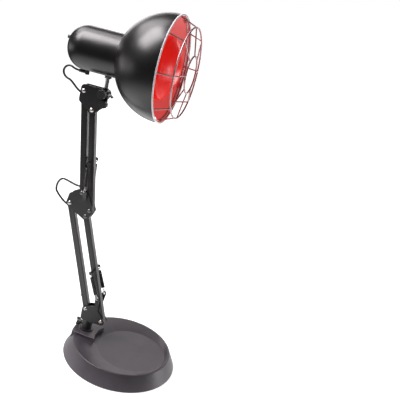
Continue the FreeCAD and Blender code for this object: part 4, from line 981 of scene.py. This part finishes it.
class LAMP_OT_head(bpy.types.Operator):
    """Build the shade, the socket cover, the socket and the guard"""

    bl_idname = "lamp.head"
    bl_label = "Head"

    def execute(self, context):
        self.shade()
        self.cover()
        refine_all(HEAD_PARTS)
        return {"FINISHED"}

    def shade(self):
        """The spun bowl with its flat back and rolled rim."""
        s = sizes()
        wall = s.sheet_wall
        radius = s.shade_radius
        back = s.shade_back
        centre = s.shade_centre
        run = s.mouth - centre
        outer_back = math.sqrt(radius ** 2 - (centre - back) ** 2)
        bm = bmesh.new()
        start = start_at(bm, back, s.shade_hole)
        last = run_on(
            bm, start,
            (back, outer_back - FLAT_INSET),
            (back + CORNER_AHEAD, outer_back + CORNER_OUT),
        )
        first = math.atan2(last.co.z, last.co.x - centre)
        radius_here = math.hypot(last.co.z, last.co.x - centre)
        last.co.z *= radius / radius_here
        last.co.x = centre + (last.co.x - centre) * radius / radius_here
        last = swing_on(bm, last, (centre, 0), first - math.acos(run / radius), BOWL_STEPS)
        bead = (s.mouth, math.sqrt((radius - wall / 2) ** 2 - run ** 2))
        last = run_on(
            bm, last, (s.mouth - s.rim_bead * BEAD_BEHIND, bead[1] + s.rim_bead * BEAD_OUT)
        )
        last = swing_on(bm, last, bead, BEAD_TURN, BEAD_STEPS)
        inner = radius - wall
        inner_back = back + wall
        inner_hole = math.sqrt(inner ** 2 - (centre - inner_back) ** 2)
        inner_start = math.acos((last.co.x - centre) / inner) + LINING_START
        inner_end = math.pi - math.asin(inner_hole / inner)
        last = run_on(
            bm, last, (centre + inner * math.cos(inner_start), inner * math.sin(inner_start))
        )
        last = swing_on(bm, last, (centre, 0), inner_start - inner_end, BOWL_STEPS)
        last = run_on(bm, last, (inner_back, s.shade_hole))
        bm.edges.new((last, start))
        spin_profile(bm, X_AXIS, SHADE_STEPS)
        for face in bm.faces:
            face.material_index = self.finish_of(face.calc_center_median())
        piece = finish_piece(
            bm, "shade_spun", ["enamel", "lining", "rim"], SHEET_SMOOTH,
            "head", HEAD,
        )
        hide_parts("shade")

    def finish_of(self, middle):
        """Which of the shade's finishes a face has, by its middle."""
        s = sizes()
        if middle.x >= s.mouth - RIM_MARGIN:
            return RIM
        out = math.hypot(middle.y, middle.z)
        from_centre = math.hypot(middle.x - s.shade_centre, out)
        inside = from_centre < s.shade_radius - s.sheet_wall * INSIDE_DEPTH
        low = s.shade_back + s.sheet_wall * BEHIND_DEPTH
        return LINING if inside and low < middle.x < s.mouth - LINING_MARGIN else OUTSIDE

    def cover(self):
        """The drawn cover over the socket, domed at its back, with a chamfered front edge."""
        s = sizes()
        wall = s.sheet_wall
        radius = s.cover_radius
        flat = radius - s.cover_dome
        tail = -s.cover_back - s.cover_dome
        front = s.shade_back - COVER_GAP
        bm = bmesh.new()
        last = run_on(bm, start_at(bm, tail, 0), (tail, flat))
        last = swing_on(bm, last, (-s.cover_back, flat), RIGHT_ANGLE, DOME_STEPS)
        last = run_on(
            bm, last,
            (0, radius),
            (front - COVER_CHAMFER, radius),
            (front, radius - COVER_CHAMFER),
            (front, radius - wall),
            (-s.cover_back, radius - wall),
        )
        last = swing_on(bm, last, (-s.cover_back, flat), -RIGHT_ANGLE, DOME_STEPS)
        run_on(bm, last, (last.co.x, 0))
        spin_profile(bm, X_AXIS, COVER_STEPS)
        piece = finish_piece(
            bm, "socket_cover_drawn", ["enamel"], SHEET_SMOOTH, "head", HEAD
        )
        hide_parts("socket_cover")


class LAMP_OT_bulb(bpy.types.Operator):
    """Build the red reflector bulb"""

    bl_idname = "lamp.bulb"
    bl_label = "Bulb"

    def execute(self, context):
        refine_all(BULB_PARTS)
        return {"FINISHED"}


# ---------------------------------------------------------------- stage


LIGHT_COLOUR = (1.0, 0.955, 0.98)
LAMP_MIDDLE = (-0.05, 0, 0.3)
LAMP_FOOT = (0, 0, 0.03)
# Name, place, target, width and height in metres, and power in watts
LIGHTS = (
    ("key", (-1.0, -0.5, 1.6), LAMP_MIDDLE, (0.8, 1.1), 46),
    ("over", (-1.05, 0.28, 1.65), LAMP_MIDDLE, (0.85, 1.1), 16),
    ("left", (-1.5, -0.2, 0.2), LAMP_FOOT, (1.2, 0.4), 2.5),
    ("right", (1.4, 0.5, 0.3), LAMP_FOOT, (0.5, 0.6), 8),
    ("edge", (0.75, 1.35, 0.16), (-0.08, 0, 0.2), (0.9, 0.3), 4),
    ("far", (-0.7, 1.9, 0.95), LAMP_MIDDLE, (2.0, 0.7), 13),
)
FLOOR_SIZE = 12
FLOOR_GREY = (0.5, 0.5, 0.5)
FLOOR_ROUGHNESS = 0.9
# The floor to the eye: distances from the lamp in metres, and how strongly it glows there
SEEN_SPAN = (0.7, 2.4)
SEEN_GLOW = (0.8, 1.0)
# The ring of light on the floor for what it lights: its full glow, then distance and share of it
POOL_GLOW = 2.0
POOL = ((0.17, 0.6), (0.36, 1.0), (0.52, 0.75), (0.9, 0.04))
# The surroundings' strength for what they light, and to the eye
ROOM_GLOW = (0.09, 1.0)


def add_light(name, place, target, size, power):
    data = bpy.data.lights.new(name, "AREA")
    data.shape = "RECTANGLE"
    data.size, data.size_y = size
    data.energy = power
    data.color = LIGHT_COLOUR
    light = bpy.data.objects.new(name, data)
    light.location = place
    light.rotation_euler = (Vector(target) - Vector(place)).to_track_quat("-Z", "Y").to_euler()
    bpy.context.scene.collection.objects.link(light)


def to_the_eye(tree):
    """1 for rays from the camera or through glass, else 0."""
    rays = tree.nodes.new("ShaderNodeLightPath")
    either = tree.nodes.new("ShaderNodeMath")
    either.operation = "MAXIMUM"
    tree.links.new(rays.outputs["Is Camera Ray"], either.inputs[0])
    tree.links.new(rays.outputs["Is Transmission Ray"], either.inputs[1])
    return either.outputs["Value"]


class LAMP_OT_stage(bpy.types.Operator):
    """Build the floor, the lights and the surroundings"""

    bl_idname = "lamp.stage"
    bl_label = "Stage"

    def execute(self, context):
        bpy.context.scene.view_settings.view_transform = "Standard"
        self.floor()
        self.world()
        for light in LIGHTS:
            add_light(*light)
        return {"FINISHED"}

    def floor(self):
        """A pale table, white to the eye; what it lights sees a ring of light round the lamp."""
        bm = bmesh.new()
        bmesh.ops.create_grid(bm, x_segments=2, y_segments=2, size=FLOOR_SIZE)
        mesh = bpy.data.meshes.new("floor")
        bm.to_mesh(mesh)
        bm.free()
        mesh.materials.append(self.floor_material())
        floor = bpy.data.objects.new("floor", mesh)
        bpy.context.scene.collection.objects.link(floor)

    def floor_material(self):
        table = Shader("pale_floor", FLOOR_GREY, FLOOR_ROUGHNESS, Specular_IOR_Level=0.0)
        reach = table.node("ShaderNodeVectorMath", operation="LENGTH")
        table.link(table.place, reach.inputs[0])
        distance = reach.outputs["Value"]
        seen = table.node("ShaderNodeEmission")
        table.link(table.spread(distance, SEEN_GLOW, SEEN_SPAN), seen.inputs["Strength"])
        cast = table.node("ShaderNodeEmission")
        cast.inputs["Strength"].default_value = POOL_GLOW
        ring = table.ramp(distance, [(place, (share, share, share)) for place, share in POOL])
        table.link(ring, cast.inputs["Color"])
        both = table.node("ShaderNodeAddShader")
        table.link(table.main.outputs["BSDF"], both.inputs[0])
        table.link(seen.outputs["Emission"], both.inputs[1])
        chosen = table.node("ShaderNodeMixShader")
        table.link(to_the_eye(table.tree), chosen.inputs["Fac"])
        table.link(cast.outputs["Emission"], chosen.inputs[1])
        table.link(both.outputs["Shader"], chosen.inputs[2])
        output = table.tree.nodes["Material Output"]
        table.link(chosen.outputs["Shader"], output.inputs["Surface"])
        return table.material

    def world(self):
        """White to the eye, and a dark room for what it lights."""
        world = bpy.data.worlds.new("surroundings")
        bpy.context.scene.world = world
        world.use_nodes = True
        tree = world.node_tree
        back = tree.nodes["Background"]
        back.inputs["Color"].default_value = (1, 1, 1, 1)
        strength = tree.nodes.new("ShaderNodeMapRange")
        for socket, value in zip(("To Min", "To Max"), ROOM_GLOW):
            strength.inputs[socket].default_value = value
        tree.links.new(to_the_eye(tree), strength.inputs["Value"])
        tree.links.new(strength.outputs["Result"], back.inputs["Strength"])


# ---------------------------------------------------------------- panel and registration


class LAMP_PT_panel(bpy.types.Panel):
    """Lists the lamp's pieces"""

    bl_idname = "LAMP_PT_panel"
    bl_label = "Heat lamp"
    bl_space_type = "VIEW_3D"
    bl_region_type = "UI"
    bl_category = "Heat lamp"

    def draw(self, context):
        for operator in PIECES:
            self.layout.operator(operator.bl_idname)


PIECES = (
    LAMP_OT_flex,
    LAMP_OT_springs,
    LAMP_OT_base,
    LAMP_OT_arm,
    LAMP_OT_head,
    LAMP_OT_bulb,
    LAMP_OT_stage,
)
CLASSES = (LampSizes, LampColours, *PIECES, LAMP_PT_panel)


def register():
    for item in CLASSES:
        bpy.utils.register_class(item)
    bpy.types.Scene.lamp_sizes = bpy.props.PointerProperty(type=LampSizes)
    bpy.types.Scene.lamp_colours = bpy.props.PointerProperty(type=LampColours)


def unregister():
    del bpy.types.Scene.lamp_sizes
    del bpy.types.Scene.lamp_colours
    for item in reversed(CLASSES):
        bpy.utils.unregister_class(item)


def main():
    register()
    make_camera()
    make_finishes()
    bpy.ops.lamp.flex()
    bpy.ops.lamp.springs()
    bpy.ops.lamp.base()
    bpy.ops.lamp.arm()
    bpy.ops.lamp.head()
    bpy.ops.lamp.bulb()
    bpy.ops.lamp.stage()
    bpy.context.view_layer.update()


if __name__ == "__main__":
    main()
